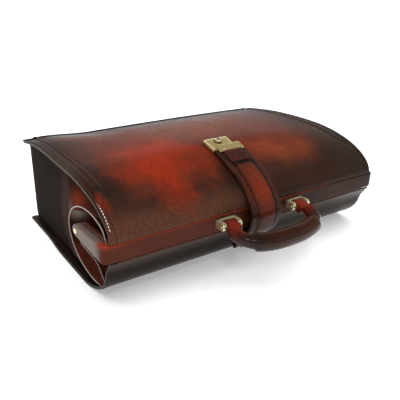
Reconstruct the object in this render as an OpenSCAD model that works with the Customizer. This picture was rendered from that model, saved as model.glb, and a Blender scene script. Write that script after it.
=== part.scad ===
// Leather frame briefcase, lying on its back panel with its mouth towards -Y.
// Millimetres. X runs along the width, Y from the mouth to the bottom, Z up from the back panel.
// The origin is on the resting face, on the centre line, rest_y behind the mouth.

/* [Case] */
// Width over the stitched edges
case_w = 444; // [400:1:500]
// Height from the mouth to the bottom
case_h = 296; // [260:1:340]
// Depth along the stitched front edge, at its highest
case_d = 140.5; // [132:0.5:156]
// Depth at the bottom
bottom_d = 126; // [110:1:132]
// Thickness of the leather of the panels
leather_t = 2.4; // [1.6:0.1:3]
// Width of the stitched edge that stands out past the side walls
edge_w = 9.5; // [7:0.5:12]
// How far the panels stand out past the bottom
bottom_lip = 2; // [1:0.5:4]
// Length of the curved shoulder of the front panel
shoulder_l = 130; // [110:1:150]
// Length of the curl of the back panel
curl_l = 60; // [50:1:70]
// Height of the curl of the back panel
curl_h = 44; // [38:1:48]
// Distance from the mouth to the end of the curl
curl_y = 75; // [72:1:90]

/* [Raised front] */
// Height of the ridge beside the front panel's edges
ridge_h = 1.6; // [0.8:0.1:2.4]
// Width of the flat strip outside the ridge
strip_w = 18; // [14:1:28]
// Extra height of the crown in the middle of the front panel
crown_h = 8; // [4:0.5:10]
// Share of the crown that is left at the bottom
crown_end = 0.3; // [0.1:0.1:0.8]
// Distance from the mouth at which the crown begins
crown_y = 40; // [30:1:46]
// Distance over which the crown rises
crown_l = 70; // [60:1:90]
// Thickness of the lining inside the front
lining_t = 1; // [0.6:0.1:1.6]

/* [Side walls] */
// Half length of the eye in each side wall
eye_l = 72; // [66:1:76]
// Half height of the eye
eye_h = 46; // [40:1:48]
// Distance of the eye's centre from the mouth
eye_y = 45; // [42:1:48]
// Height of the eye's centre
eye_z = 68; // [64:1:72]
// Depth of the fold inside the eye
fold_d = 12; // [8:1:20]
// Thickness of the fold's leather
fold_t = 2; // [1.2:0.1:2.6]

/* [Frame] */
// Height of the frame's middle line
frame_z = 77; // [74:0.5:80]
// Height of the outer band
band_h = 24; // [20:0.5:26]
// Thickness of the outer band
band_t = 10; // [8:0.5:11]
// How far the outer band stands out past the stitched edges at each end
band_over = 10.3; // [10:0.1:12]
// Corner radius of the outer band
band_r = 8; // [4:0.5:9]
// Distance from the mouth to the pivots
pivot_y = 78; // [74:1:82]
// Radius of the rounded arm ends
arm_r = 8.5; // [7:0.1:9]
// Height of the inner band
inner_h = 20; // [16:0.5:20]
// Thickness of the inner band
inner_t = 7; // [6:0.1:7.4]
// Thickness of the steel core of both bands
core_t = 3; // [2:0.1:3.4]
// Leather left round the core's edges
core_cover = 2.6; // [2:0.1:3]
// Gap between the two bands
band_gap = 1.1; // [1.1:0.1:1.5]
// Height of the piping strip under the outer band
piping_h = 3; // [2:0.1:4]

/* [Pivots] */
// Radius of the pivot rivets
rivet_r = 2.5; // [2:0.1:3]
// Radius of the rivet heads
rivet_head_r = 3.6; // [3.4:0.1:4.5]
// Height of the rivet heads
rivet_head_h = 1.2; // [0.8:0.1:1.5]
// Radial clearance of the rivets and pins in the pieces that turn on them
pin_clear = 0.05; // [0.02:0.01:0.09]

/* [Handle] */
// Distance between the handle's two mounts
handle_pitch = 120; // [110:1:130]
// Distance from the frame's face to the handle's pins
pin_y = 13; // [12:0.5:14]
// Height of the handle's pins above the frame's middle line
pin_rise = 2; // [0:0.5:3]
// Radius of the handle's pins
pin_r = 2; // [1.5:0.1:2.5]
// Distance from the handle's pins to the middle of its grip
handle_reach = 48; // [46:1:60]
// Angle that the handle hangs below level at rest
handle_droop = 15; // [0:1:20]
// Half width of the handle at its arms
handle_half = 65; // [64:0.5:68]
// Radius of the grip
grip_r = 13; // [11:0.5:14]
// Radius of the handle's arms
arm_tube_r = 9; // [8:0.5:10]
// Half length of the thick grip
grip_half = 50; // [44:1:54]
// Radius of the handle's core
core_r = 4; // [2:0.5:5]
// Width of the leather end tabs
tab_w = 18; // [16:0.5:20]
// Radius of the end tabs' eyes
tab_r = 7; // [6:0.5:7.5]
// Length of the end tabs past the pins
tab_l = 14; // [12:0.5:16]
// Thickness of the end tabs behind the eyes
tab_t = 11; // [9:0.5:12]
// Thickness of the bracket's lugs
lug_t = 5.5; // [4:0.1:6]
// Gap between a lug and the end tab
lug_gap = 0.5; // [0.3:0.1:0.8]
// Radius of the bracket's lugs
lug_r = 5.5; // [4.5:0.1:6]
// Thickness of the bracket's base plate
plate_t = 1.5; // [1:0.1:2]
// Height of the bracket's base plate
plate_h = 12; // [11.5:0.5:15]
// Radius of the bracket's screws
screw_r = 1.3; // [1:0.1:1.6]

/* [Strap] */
// Width of the closing strap
strap_w = 50; // [44:1:56]
// Thickness of the closing strap
strap_t = 5; // [4:0.1:5.5]
// Width of the padded middle of the strap
pad_w = 28; // [22:1:34]
// Height of the padded middle
pad_h = 1.6; // [1:0.1:2]
// Radius of the strap's bow round the frame
bow_r = 42; // [40:0.5:44]
// How far the bow stands out in front of the frame
bow_out = 15; // [13:0.5:17]
// Angle of the strap's fold above the bow's centre
fold_a = 29; // [26:1:34]
// Gap between the strap's two parts at the fold
fold_gap = 0.3; // [0.2:0.1:0.5]
// Gap between the strap and the front panel
strap_gap = 0.5; // [0.4:0.1:0.8]

/* [Lock] */
// Distance from the mouth to the middle of the lock body
lock_y = 90; // [88:1:96]
// How far the lock body sits to the left of the strap
lock_off = 6; // [0:0.5:8]
// Length of the lock body along the case
lock_l = 28; // [26:1:30]
// Width of the lock body
lock_w = 40; // [36:1:44]
// Height of the lock body
lock_t = 4.6; // [4.4:0.1:4.8]
// Wall thickness of the lock body
lock_wall = 1.2; // [0.8:0.1:1.3]
// Thickness of the plate under the lock body
lock_base_t = 0.8; // [0.6:0.1:1]
// Radius of the push button
button_r = 4.5; // [4:0.1:5]
// Height of the push button above the lock body
button_h = 4; // [3:0.1:5]
// Travel of the push button
button_travel = 1.2; // [0.8:0.1:1.3]
// Radius of the key plug inside the button
plug_r = 2.4; // [2:0.1:2.8]
// Width of the key slot
slot_w = 1; // [0.6:0.1:1.4]
// Length of the key slot
slot_l = 3.6; // [2.6:0.1:3.8]
// Travel of the latch bolt
bolt_travel = 2.4; // [1.5:0.1:2.6]
// Width of the latch bolt
bolt_w = 12; // [8:0.5:14]
// Thickness of the latch bolt
bolt_t = 1; // [0.8:0.1:1.2]
// Width of the hook under the hasp plate
hook_w = 10; // [6:0.5:12]
// Thickness of the hook's stem
hook_t = 1.8; // [1.2:0.1:2]
// Reach of the hook's toe
toe_l = 2.1; // [1.5:0.1:2.4]
// Length of the hasp plate
hasp_l = 15; // [13:0.5:17]
// Width of the hasp plate
hasp_w = 42; // [38:0.5:46]
// Thickness of the hasp plate
hasp_t = 2.4; // [1.6:0.1:3]
// How far the hasp plate reaches over the lock body
hasp_lap = 7; // [6:0.5:8]
// Length of the pull tab past the hasp plate
tab_pull_l = 22; // [16:1:24]
// Width of the pull tab
tab_pull_w = 34; // [30:1:38]
// Thickness of the pull tab
tab_pull_t = 3; // [2:0.1:3.5]

/* [Hidden] */
$fn = 48;

leather = [0.36, 0.13, 0.07];
dark_leather = [0.2, 0.09, 0.06];
brass = [0.8, 0.68, 0.35];
steel = [0.6, 0.6, 0.62];
lining = [0.45, 0.3, 0.2];
board = [0.55, 0.5, 0.42];

// The part stands on the middle of its flat back, this far behind the mouth
rest_y = (curl_y + case_h) / 2;
// Clearance between pieces of different bodies that lie against each other
clear = 0.3;
// Clearance between pieces of one body
seat = 0.05;
half_w = case_w / 2;
wall_out = half_w - edge_w;
wall_in = wall_out - leather_t;
band_top = frame_z + band_h / 2;
band_bottom = frame_z - band_h / 2;
piping_bottom = band_bottom - piping_h;
frame_half = half_w + band_over;
arm_in = frame_half - band_t;
inner_y = band_t + band_gap;
inner_half = arm_in - band_gap;
inner_arm_in = inner_half - inner_t;
ridge_x = half_w - strip_w;
panel_foot = band_top + clear;
shoulder_h = case_d - panel_foot;
pin_z = frame_z + pin_rise;

module set_down() translate([0, -rest_y, 0]) children();
module along_x(x0, x1) translate([x0, 0, 0]) rotate([90, 0, 90]) linear_extrude(x1 - x0) children();
module both_sides(side) mirror([side == "left" ? 1 : 0, 0, 0]) children();
module ellipse(y, z, a, b) polygon([for (i = [0:5:355]) [y + a * cos(i), z + b * sin(i)]]);
function reversed(list) = [for (i = [len(list) - 1:-1:0]) list[i]];
function smooth(t) = let(c = max(0, min(1, t))) c * c * (3 - 2 * c);
// Leather between two lines of points, seen from the side
module ribbon(outside, inside) polygon(concat(outside, reversed(inside)));

// Edge of the front panel: a quarter ellipse for the shoulder, then a slow fall to the bottom
shoulder_steps = 12;
rear_steps = 6;
rear_l = case_h - shoulder_l;
fall_power = 2.2;
function rear_drop(y) = (case_d - bottom_d) * pow((y - shoulder_l) / rear_l, fall_power);
function shoulder_point(a, inset) = [shoulder_l - (shoulder_l - inset) * cos(a),
    panel_foot + (shoulder_h - inset) * sin(a)];
function rear_point(y, inset) = [y, case_d - inset - rear_drop(min(y, case_h))];
function front_edge(inset, first = 0) = concat(
    [for (i = [first:shoulder_steps]) shoulder_point(i * 90 / shoulder_steps, inset)],
    [for (i = [1:rear_steps]) rear_point(shoulder_l + i * rear_l / rear_steps, inset)],
    [rear_point(case_h + bottom_lip, inset)]);

// Raised middle of the front panel: a ridge beside the stitched edge, and a shallow crown
ridge_start = 4;
ridge_l = 30;
ridge_step = 2;
crown_power = 2.2;
function crown_fall(y) = 1 - (1 - crown_end) * smooth((y - shoulder_l) / rear_l);
function crown(x, y) = abs(x) >= ridge_x ? 0 : crown_h * (1 - pow(abs(x) / ridge_x, crown_power))
    * smooth((y - crown_y) / crown_l) * crown_fall(y);
function ridge(x, y) = abs(x) > ridge_x - ridge_step / 2 ? 0 : ridge_h * smooth((y - ridge_start) / ridge_l);
function raised(x, y) = ridge(x, y) + crown(x, y);
function edge_z(y) = y < shoulder_l
    ? panel_foot + shoulder_h * sqrt(max(0, 1 - pow((shoulder_l - y) / shoulder_l, 2)))
    : case_d - rear_drop(y);
function middle_z(y) = edge_z(y) + raised(0, y);
function middle_slope(y) = atan(middle_z(y + 0.5) - middle_z(y - 0.5));
// A point h above the middle line of the front panel
function over_panel(y, h) = [y - h * sin(middle_slope(y)), middle_z(y) + h * cos(middle_slope(y))];
module on_panel(y) translate([0, y, middle_z(y)]) rotate([middle_slope(y), 0, 0]) children();

// Edge of the back panel: flat floor, then a curl up to the piping under the band
back_tuck = 2.5;
function curl_point(a, inset) = [curl_y - (curl_l - inset) * sin(a), curl_h - (curl_h - inset) * cos(a)];
function back_curl(inset, last = 90) = [for (a = [0:10:last]) curl_point(a, inset)];
function back_edge(inset) = concat([[case_h + bottom_lip, inset]], back_curl(inset),
    [[back_tuck + inset, piping_bottom]]);

// Closed sheet between two grids of points that have the same rows and columns
module sheet(top, bottom) {
    rows = len(top);
    cols = len(top[0]);
    count = rows * cols;
    points = concat([for (row = top) each row], [for (row = bottom) each row]);
    function at(i, j) = i * cols + j;
    faces = concat(
        [for (i = [0:rows - 2], j = [0:cols - 2])
            each [[at(i, j), at(i, j + 1), at(i + 1, j + 1)], [at(i, j), at(i + 1, j + 1), at(i + 1, j)]]],
        [for (i = [0:rows - 2], j = [0:cols - 2])
            each [[count + at(i, j), count + at(i + 1, j + 1), count + at(i, j + 1)],
                [count + at(i, j), count + at(i + 1, j), count + at(i + 1, j + 1)]]],
        [for (i = [0:rows - 2], side = [0, 1])
            let(j = side * (cols - 1), a = at(i + side, j), b = at(i + 1 - side, j))
            each [[a, b, count + b], [a, count + b, count + a]]],
        [for (j = [0:cols - 2], side = [0, 1])
            let(i = side * (rows - 1), a = at(i, j + 1 - side), b = at(i, j + side))
            each [[a, b, count + b], [a, count + b, count + a]]]);
    polyhedron(points, faces, convexity = 6);
}

// Tube round a path, hollow where bore is over zero
module tube(path, radii, bore, sides) {
    n = len(path);
    // Its two ends stand square to the pieces that they meet
    function along(i) = i == 0 ? [0, -1, 0] : i == n - 1 ? [0, 1, 0]
        : let(d = path[i + 1] - path[i - 1]) d / norm(d);
    function ring(i, r) = let(t = along(i), s = [-t[1], t[0], 0])
        [for (k = [0:sides - 1]) let(a = k * 360 / sides) path[i] + r * (cos(a) * s + [0, 0, sin(a)])];
    outer = [for (i = [0:n - 1]) each ring(i, radii[i])];
    inner = bore > 0 ? [for (i = [0:n - 1]) each ring(i, bore)] : [];
    m = n * sides;
    function at(i, k) = i * sides + (k + sides) % sides;
    walls = [for (i = [0:n - 2], k = [0:sides - 1])
        each [[at(i, k), at(i + 1, k), at(i + 1, k + 1)], [at(i, k), at(i + 1, k + 1), at(i, k + 1)]]];
    bores = [for (f = walls) [m + f[0], m + f[2], m + f[1]]];
    caps = bore > 0
        ? [for (k = [0:sides - 1]) each [
            [at(0, k), at(0, k + 1), m + at(0, k + 1)], [at(0, k), m + at(0, k + 1), m + at(0, k)],
            [at(n - 1, k + 1), at(n - 1, k), m + at(n - 1, k)],
            [at(n - 1, k + 1), m + at(n - 1, k), m + at(n - 1, k + 1)]]]
        : [[for (k = [0:sides - 1]) at(0, k)], [for (k = [sides - 1:-1:0]) at(n - 1, k)]];
    polyhedron(concat(outer, inner), concat(walls, bore > 0 ? bores : [], caps), convexity = 8);
}

// Back, with its lining and the welts that close its edges
module back_panel() color(dark_leather) set_down()
    along_x(-half_w, half_w) ribbon(back_edge(0), back_edge(leather_t));

lining_margin = 1;
lining_last = 80;
module back_lining() color(lining) set_down()
    along_x(-wall_in + lining_margin, wall_in - lining_margin) ribbon(
        concat([[board_y - lining_margin, leather_t]], back_curl(leather_t, lining_last)),
        concat([[board_y - lining_margin, leather_t + lining_t]],
            back_curl(leather_t + lining_t, lining_last)));

welt_last = 80;
module back_welt(side) color(leather) set_down() both_sides(side)
    along_x(wall_out, half_w) ribbon(
        concat([[case_h, leather_t]], back_curl(leather_t, welt_last)),
        concat([[case_h, 2 * leather_t]], back_curl(2 * leather_t, welt_last)));
module back_welt_left() back_welt("left");
module back_welt_right() back_welt("right");

// Bottom of the case, which is the far wall here; its upper edge follows the crown
panel_xs = concat([-half_w, -ridge_x], [for (i = [-7:7]) i * (ridge_x - ridge_step) / 7], [ridge_x, half_w]);
bottom_xs = [for (x = panel_xs) max(-wall_in, min(wall_in, x))];
module bottom_panel() color(dark_leather) set_down() translate([0, case_h, 0]) rotate([90, 0, 0])
    linear_extrude(leather_t) polygon(concat([[-wall_in, leather_t]],
        [for (x = bottom_xs) [x, bottom_d - leather_t - clear + raised(x, case_h)]],
        [[wall_in, leather_t]]));

board_t = 2;
board_y = case_h - leather_t - board_t;
board_margin = 2;
module bottom_board() color(board) set_down()
    translate([-wall_in, board_y, leather_t])
        cube([2 * wall_in, board_t, bottom_d - 2 * leather_t - board_margin]);

// Side walls, each with an eye where the leather folds in as the mouth closes
sweep_gap = 1.5;
sweep_r = pivot_y - inner_y - inner_t - sweep_gap;
gusset_tuck = 8.5;
module side_outline() polygon(concat(
    [[case_h, leather_t]],
    back_curl(leather_t),
    [[gusset_tuck, piping_bottom]],
    [for (p = front_edge(leather_t + clear)) if (p[0] < case_h) p],
    [rear_point(case_h, leather_t + clear)]));
// Room in front of the pivots that the inner frame sweeps as the mouth opens
module frame_sweep() difference() {
    translate([-band_t, piping_bottom]) square([band_t + pivot_y, case_d]);
    translate([pivot_y, frame_z]) circle(sweep_r);
}
module gusset(side) color(dark_leather) set_down() both_sides(side)
    along_x(wall_in, wall_out) difference() {
        side_outline();
        frame_sweep();
        ellipse(eye_y, eye_z, eye_l, eye_h);
    }
module gusset_left() gusset("left");
module gusset_right() gusset("right");

module fold_outline(inset) intersection() {
    ellipse(eye_y, eye_z, eye_l - inset, eye_h - inset);
    translate([pivot_y, frame_z]) circle(sweep_r - inset);
}
module gusset_fold(side) color(dark_leather) set_down() both_sides(side) {
    along_x(wall_out - fold_d, wall_out) difference() {
        fold_outline(0);
        fold_outline(fold_t);
    }
    along_x(wall_out - fold_d - fold_t, wall_out - fold_d) fold_outline(0);
}
module gusset_fold_left() gusset_fold("left");
module gusset_fold_right() gusset_fold("right");

// Frame: an outer half with the handle, and an inner half that turns on two rivets
module u_plan(half, y, t, r) difference() {
    union() {
        translate([-half, y + r]) square([2 * half, pivot_y - y - r]);
        translate([-half + r, y]) square([2 * (half - r), r + 1]);
        for (s = [-1, 1]) translate([s * (half - r), y + r]) circle(r);
    }
    translate([-half + t, y + t]) square([2 * (half - t), pivot_y]);
}
module arm_side(y, h, r) polygon([[y, frame_z - h / 2], [y, frame_z + h / 2],
    [pivot_y, frame_z + r], [pivot_y, frame_z - r]]);
module frame_half_shape(half, y, h, t, r, end_r) union() {
    intersection() {
        linear_extrude(case_d) u_plan(half, y, t, r);
        along_x(-half, half) arm_side(y, h, end_r);
    }
    for (s = [-1, 1]) translate([s > 0 ? half - t : -half, pivot_y, frame_z]) rotate([0, 90, 0])
        cylinder(h = t, r = end_r);
}
core_corner = 2 * core_t;
outer_skin = (band_t - core_t) / 2;
inner_skin = (inner_t - core_t) / 2;
inner_arm_r = arm_r - 0.4;
module outer_core_shape() frame_half_shape(frame_half - outer_skin, outer_skin,
    band_h - 2 * core_cover, core_t, core_corner, arm_r - core_cover);
module inner_core_shape() frame_half_shape(inner_half - inner_skin, inner_y + inner_skin,
    inner_h - 2 * core_cover, core_t, core_corner, inner_arm_r - core_cover);
module pivot_holes(r) translate([-frame_half - 1, pivot_y, frame_z]) rotate([0, 90, 0])
    cylinder(h = 2 * frame_half + 2, r = r);
screw_end = outer_skin + core_t;
screw_drop = 3.2;
screw_off = 6;
module screw_places() for (s = [-1, 1], e = [-1, 1])
    translate([s * handle_pitch / 2 + e * screw_off, 0, pin_z - screw_drop]) rotate([90, 0, 0]) children();
module screw_holes(depth, out) screw_places()
    translate([0, 0, -depth]) cylinder(h = depth + out, r = screw_r);

module outer_frame_core() color(steel) set_down() difference() {
    outer_core_shape();
    pivot_holes(rivet_r);
    screw_holes(screw_end, 1);
}
module outer_frame_cover() color(leather) set_down() difference() {
    frame_half_shape(frame_half, 0, band_h, band_t, band_r, arm_r);
    outer_core_shape();
    pivot_holes(rivet_r);
    screw_holes(screw_end, 1);
}
module inner_frame_core() color(steel) set_down() difference() {
    inner_core_shape();
    pivot_holes(rivet_r + pin_clear);
}
module inner_frame_cover() color(dark_leather) set_down() difference() {
    frame_half_shape(inner_half, inner_y, inner_h, inner_t, band_r / 2, inner_arm_r);
    inner_core_shape();
    pivot_holes(rivet_r + pin_clear);
}
piping_in = 1.5;
module frame_piping() color(leather) set_down()
    translate([-wall_out, piping_in, piping_bottom]) cube([2 * wall_out, band_t - piping_in - 1, piping_h]);

tail_h = 0.9;
tail_r = rivet_head_r - 0.4;
module rivet(side) color(brass) set_down() both_sides(side)
    translate([0, pivot_y, frame_z]) rotate([0, 90, 0]) {
    translate([0, 0, inner_arm_in - clear]) cylinder(h = frame_half - inner_arm_in + clear, r = rivet_r);
    translate([0, 0, frame_half]) cylinder(h = rivet_head_h, r = rivet_head_r);
    translate([0, 0, inner_arm_in - clear - tail_h]) cylinder(h = tail_h, r = tail_r);
}
module rivet_left() rivet("left");
module rivet_right() rivet("right");

// Handle brackets: a base plate, two lugs and a bar across their upper edge
lug_x = tab_w / 2 + lug_gap;
bar_t = 4;
bar_h = 2;
module handle_bracket(s) color(brass) set_down() translate([s * handle_pitch / 2, 0, 0]) difference() {
    union() {
        translate([-lug_x - lug_t, -plate_t, pin_z - plate_h / 2])
            cube([2 * (lug_x + lug_t), plate_t, plate_h]);
        for (x = [-lug_x - lug_t, lug_x]) along_x(x, x + lug_t) {
            translate([-pin_y, pin_z]) circle(lug_r);
            translate([-pin_y, pin_z - lug_r]) square([pin_y - plate_t, 2 * lug_r]);
        }
        translate([-lug_x, -plate_t - bar_t, pin_z + plate_h / 2 - bar_h]) cube([2 * lug_x, bar_t, bar_h]);
    }
    translate([-tab_w, -pin_y, pin_z]) rotate([0, 90, 0]) cylinder(h = 2 * tab_w, r = pin_r);
    for (e = [-1, 1]) translate([e * screw_off, 1, pin_z - screw_drop]) rotate([90, 0, 0])
        cylinder(h = plate_t + 2, r = screw_r);
}
module handle_bracket_left() handle_bracket(-1);
module handle_bracket_right() handle_bracket(1);

pin_over = 0.4;
module handle_pin(s) color(brass) set_down()
    translate([s * handle_pitch / 2 - lug_x - lug_t - pin_over, -pin_y, pin_z])
        rotate([0, 90, 0]) cylinder(h = 2 * (lug_x + lug_t + pin_over), r = pin_r);
module handle_pin_left() handle_pin(-1);
module handle_pin_right() handle_pin(1);

screw_head_h = 1;
module bracket_screws() color(brass) set_down() screw_places() {
    translate([0, 0, -screw_end]) cylinder(h = screw_end + plate_t, r = screw_r);
    translate([0, 0, plate_t]) cylinder(h = screw_head_h, r = screw_r + 1);
}

// Handle: in plan, a squared arch from one end tab to the other, which hangs a little below level
module hang() translate([0, -pin_y, pin_z]) rotate([handle_droop, 0, 0])
    translate([0, pin_y, -pin_z]) children();
arch_power = 2.6;
tab_end = pin_y + tab_l;
arch_depth = handle_reach - tab_l - seat;
handle_steps = 24;
function arch(a) = [-sign(cos(a)) * handle_half * pow(abs(cos(a)), 2 / arch_power),
    -tab_end - seat - arch_depth * pow(max(0, sin(a)), 2 / arch_power), pin_z];
handle_path = [for (i = [0:handle_steps]) arch(180 * i / handle_steps)];
grip_taper = 8;
handle_radii = [for (p = handle_path)
    arm_tube_r + (grip_r - arm_tube_r) * smooth((grip_half - abs(p[0])) / grip_taper + 0.5)];
tube_sides = 16;
module handle_core() color(steel) set_down() hang()
    tube(handle_path, [for (p = handle_path) core_r], 0, tube_sides);
module handle_grip() color(dark_leather) set_down() hang()
    tube(handle_path, handle_radii, core_r, tube_sides);

module handle_tab(s) color(leather) set_down() hang() translate([s * handle_pitch / 2, 0, 0]) difference() {
    along_x(-tab_w / 2, tab_w / 2) union() {
        translate([-pin_y, pin_z]) circle(tab_r);
        translate([-tab_end, pin_z - tab_t / 2]) square([tab_l, tab_t]);
    }
    translate([-tab_w, -pin_y, pin_z]) rotate([0, 90, 0]) cylinder(h = 2 * tab_w, r = pin_r + pin_clear);
}
module handle_tab_left() handle_tab(-1);
module handle_tab_right() handle_tab(1);

// Front half: panel, padding, lining, the lip over the frame and the welts under its edges
function panel_grid(inset, lift, xs = panel_xs, first = 0, last = case_h + bottom_lip) = [for (x = xs)
    [for (p = front_edge(inset, first)) if (p[0] <= last) [x, p[0], p[1] + lift + raised(x, p[0])]]];
function flat_grid(inset, xs, first, last) = [for (x = xs)
    [for (p = front_edge(inset, first)) if (p[0] <= last) [x, p[0], p[1]]]];
module front_panel() color(leather) set_down() sheet(panel_grid(0, 0), panel_grid(leather_t, 0));

pad_xs = [for (i = [-7:7]) i * (ridge_x - ridge_step) / 7];
lining_first = 5;
lining_short = 20;
lining_back = case_h - lining_short;
module front_padding() color(board) set_down() sheet(
    panel_grid(leather_t, -3 * seat, pad_xs, lining_first, lining_back),
    flat_grid(leather_t, pad_xs, lining_first, lining_back));
module front_lining() color(lining) set_down()
    along_x(-wall_in + lining_margin, wall_in - lining_margin) ribbon(
        [for (p = front_edge(leather_t + seat, lining_first)) if (p[0] < lining_back) p],
        [for (p = front_edge(leather_t + seat + lining_t, lining_first)) if (p[0] < lining_back) p]);

collar_l = 38;
collar_t = 2;
collar_in = 0.6;
collar_half = wall_out - fold_d - fold_t - clear;
module front_collar() color(leather) set_down()
    translate([-collar_half, leather_t + collar_in, panel_foot])
        cube([2 * collar_half, collar_l - leather_t - collar_in, collar_t]);

welt_first = 3;
module front_welt(side) color(dark_leather) set_down() both_sides(side)
    along_x(wall_out + clear, half_w) ribbon(
        [for (p = front_edge(leather_t, welt_first)) if (p[0] <= case_h) p],
        [for (p = front_edge(2 * leather_t, welt_first)) if (p[0] <= case_h) p]);
module front_welt_left() front_welt("left");
module front_welt_right() front_welt("right");

// Lock: a flat box on the front panel, with a push button, a key plug in it and a bolt under its top
module at_lock() on_panel(lock_y) translate([-lock_off, 0, seat]) children();
lock_top = lock_t - lock_wall;
button_v = 4.5;
flange_r = button_r + 0.7;
flange_t = 0.8;
flange_z = lock_base_t + button_travel + clear;
hook_room = 1.8;
hook_gap = 0.4;
hook_v = -lock_l / 2 + lock_wall + hook_room + 0.8;
bolt_stop = 0.1;
bolt_v = hook_v + hook_t + bolt_stop + bolt_travel;
bolt_end = button_v - flange_r - hook_gap;
bolt_z = lock_top - bolt_t - clear;
toe_z = lock_base_t + clear;
toe_t = bolt_z - toe_z - clear;
module lock_base() color(brass) set_down() at_lock()
    translate([-lock_w / 2 + lock_wall + seat, -lock_l / 2 + lock_wall + seat, 0])
        cube([lock_w - 2 * (lock_wall + seat), lock_l - 2 * (lock_wall + seat), lock_base_t]);
module lock_body() color(brass) set_down() at_lock() difference() {
    translate([-lock_w / 2, -lock_l / 2, 0]) cube([lock_w, lock_l, lock_t]);
    translate([-lock_w / 2 + lock_wall, -lock_l / 2 + lock_wall, -1])
        cube([lock_w - 2 * lock_wall, lock_l - 2 * lock_wall, lock_top + 1]);
    translate([0, button_v, 0]) cylinder(h = lock_t + 1, r = button_r + pin_clear);
    translate([-hook_w / 2 - hook_gap, hook_v - hook_room, 0])
        cube([hook_w + 2 * hook_gap, hook_room + hook_t + toe_l + hook_gap, lock_t + 1]);
}
lock_rivet_r = 1.6;
lock_rivet_in = 2.6;
module lock_rivets() color(brass) set_down() at_lock() for (x = [-1, 1], v = [-1, 1])
    translate([x * (lock_w / 2 - lock_wall - lock_rivet_in), v * (lock_l / 2 - lock_wall - lock_rivet_in),
        lock_base_t]) cylinder(h = lock_top - lock_base_t, r = lock_rivet_r);
module push_button() color(brass) set_down() at_lock() translate([0, button_v, 0]) difference() {
    union() {
        translate([0, 0, flange_z]) cylinder(h = flange_t, r = flange_r);
        translate([0, 0, flange_z]) cylinder(h = lock_t + button_h - flange_z, r = button_r);
    }
    cylinder(h = lock_t + button_h + 1, r = plug_r + pin_clear);
}
slot_deep = 1.5;
module key_plug() color(steel) set_down() at_lock() translate([0, button_v, 0]) difference() {
    translate([0, 0, flange_z]) cylinder(h = lock_t + button_h - flange_z, r = plug_r);
    translate([-slot_w / 2, -slot_l / 2, lock_t + button_h - slot_deep])
        cube([slot_w, slot_l, slot_deep + 1]);
}
module latch_bolt() color(steel) set_down() at_lock()
    translate([-bolt_w / 2, bolt_v, bolt_z]) cube([bolt_w, bolt_end - bolt_v, bolt_t]);

// Strap: a lower part fixed to the back, and a flap that folds open in front of the frame
bow_y = bow_r - bow_out;
bow_z = frame_z - 1;
bow_in = bow_r - strap_t;
function bow_point(a, r) = [bow_y - r * cos(a), bow_z + r * sin(a)];
bow_steps = 8;
bow_last = -50;
foot_as = [80, 70, 60, 50, 40];
function strap_foot(a, h) = let(n = [sin(a) / curl_l, cos(a) / curl_h]) curl_point(a, 0) - h * n / norm(n);
function low_edge(h) = concat(
    [for (i = [0:bow_steps]) bow_point(fold_a - i * (fold_a - bow_last) / bow_steps, bow_in + h)],
    [for (a = foot_as) strap_foot(a, h + seat)]);
module strap_lower() color(leather) set_down()
    along_x(-strap_w / 2, strap_w / 2) ribbon(low_edge(strap_t), low_edge(0));
module strap_pad_lower() color(leather) set_down() along_x(-pad_w / 2, pad_w / 2) ribbon(
    [for (i = [1:bow_steps]) low_edge(strap_t + pad_h)[i]], [for (i = [1:bow_steps]) low_edge(strap_t)[i]]);

strap_clear = 0.8;
strap_end = lock_y - lock_l / 2 * cos(middle_slope(lock_y)) - strap_clear;
flap_start = 16;
flap_steps = 6;
fold_turn = fold_gap / bow_r * 180 / PI;
lead_steps = 4;
// From the fold to the panel, along a curve that leaves both in their own direction
function flap_lead(h) = let(
    a = fold_a + fold_turn, from = bow_point(a, bow_in + h), out = [sin(a), cos(a)],
    s = middle_slope(flap_start), to = over_panel(flap_start, strap_gap + h), back = [cos(s), sin(s)],
    corner = from + out * cross(to - from, back) / cross(out, back))
    [for (i = [0:lead_steps - 1]) let(t = i / lead_steps)
        (1 - t) * (1 - t) * from + 2 * t * (1 - t) * corner + t * t * to];
function flap_edge(h) = concat(flap_lead(h),
    [for (i = [0:flap_steps])
        over_panel(flap_start + i * (strap_end - flap_start) / flap_steps, strap_gap + h)]);
module strap_flap() color(leather) set_down() difference() {
    along_x(-strap_w / 2, strap_w / 2) ribbon(flap_edge(strap_t), flap_edge(0));
    hasp_rivet_places() translate([0, 0, -strap_t]) cylinder(h = 4 * strap_t, r = hasp_rivet_r);
}
pad_last = 7;
module strap_pad() color(leather) set_down() along_x(-pad_w / 2, pad_w / 2) ribbon(
    [for (i = [1:pad_last]) flap_edge(strap_t + pad_h)[i]], [for (i = [1:pad_last]) flap_edge(strap_t)[i]]);

// Hasp: a plate riveted to the flap, with a hook on its underside that goes through the top of the lock
hasp_y = strap_end + strap_clear + (hasp_lap - hasp_l / 2) * cos(middle_slope(strap_end));
hasp_z = strap_gap + strap_t + clear;
hasp_rivet_r = 1.2;
hasp_rivet_x = 12;
hasp_rivet_in = 3;
module hasp_rivet_places() on_panel(hasp_y) for (s = [-1, 1])
    translate([s * hasp_rivet_x, -hasp_l / 2 + hasp_rivet_in, 0]) children();
module hasp_plate() color(brass) set_down() difference() {
    on_panel(hasp_y) translate([-hasp_w / 2, -hasp_l / 2, hasp_z]) cube([hasp_w, hasp_l, hasp_t]);
    hasp_rivet_places() cylinder(h = hasp_z + hasp_t + 1, r = hasp_rivet_r);
}
module hasp_hook() color(brass) set_down() difference() {
    at_lock() along_x(-hook_w / 2, hook_w / 2) {
        translate([hook_v, toe_z]) square([hook_t, hasp_z + hasp_t - toe_z]);
        translate([hook_v, toe_z]) square([hook_t + toe_l, toe_t]);
    }
    on_panel(hasp_y) translate([-hasp_w / 2, -hasp_l / 2, hasp_z - seat]) cube([hasp_w, hasp_l, 2 * hasp_t]);
}
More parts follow.
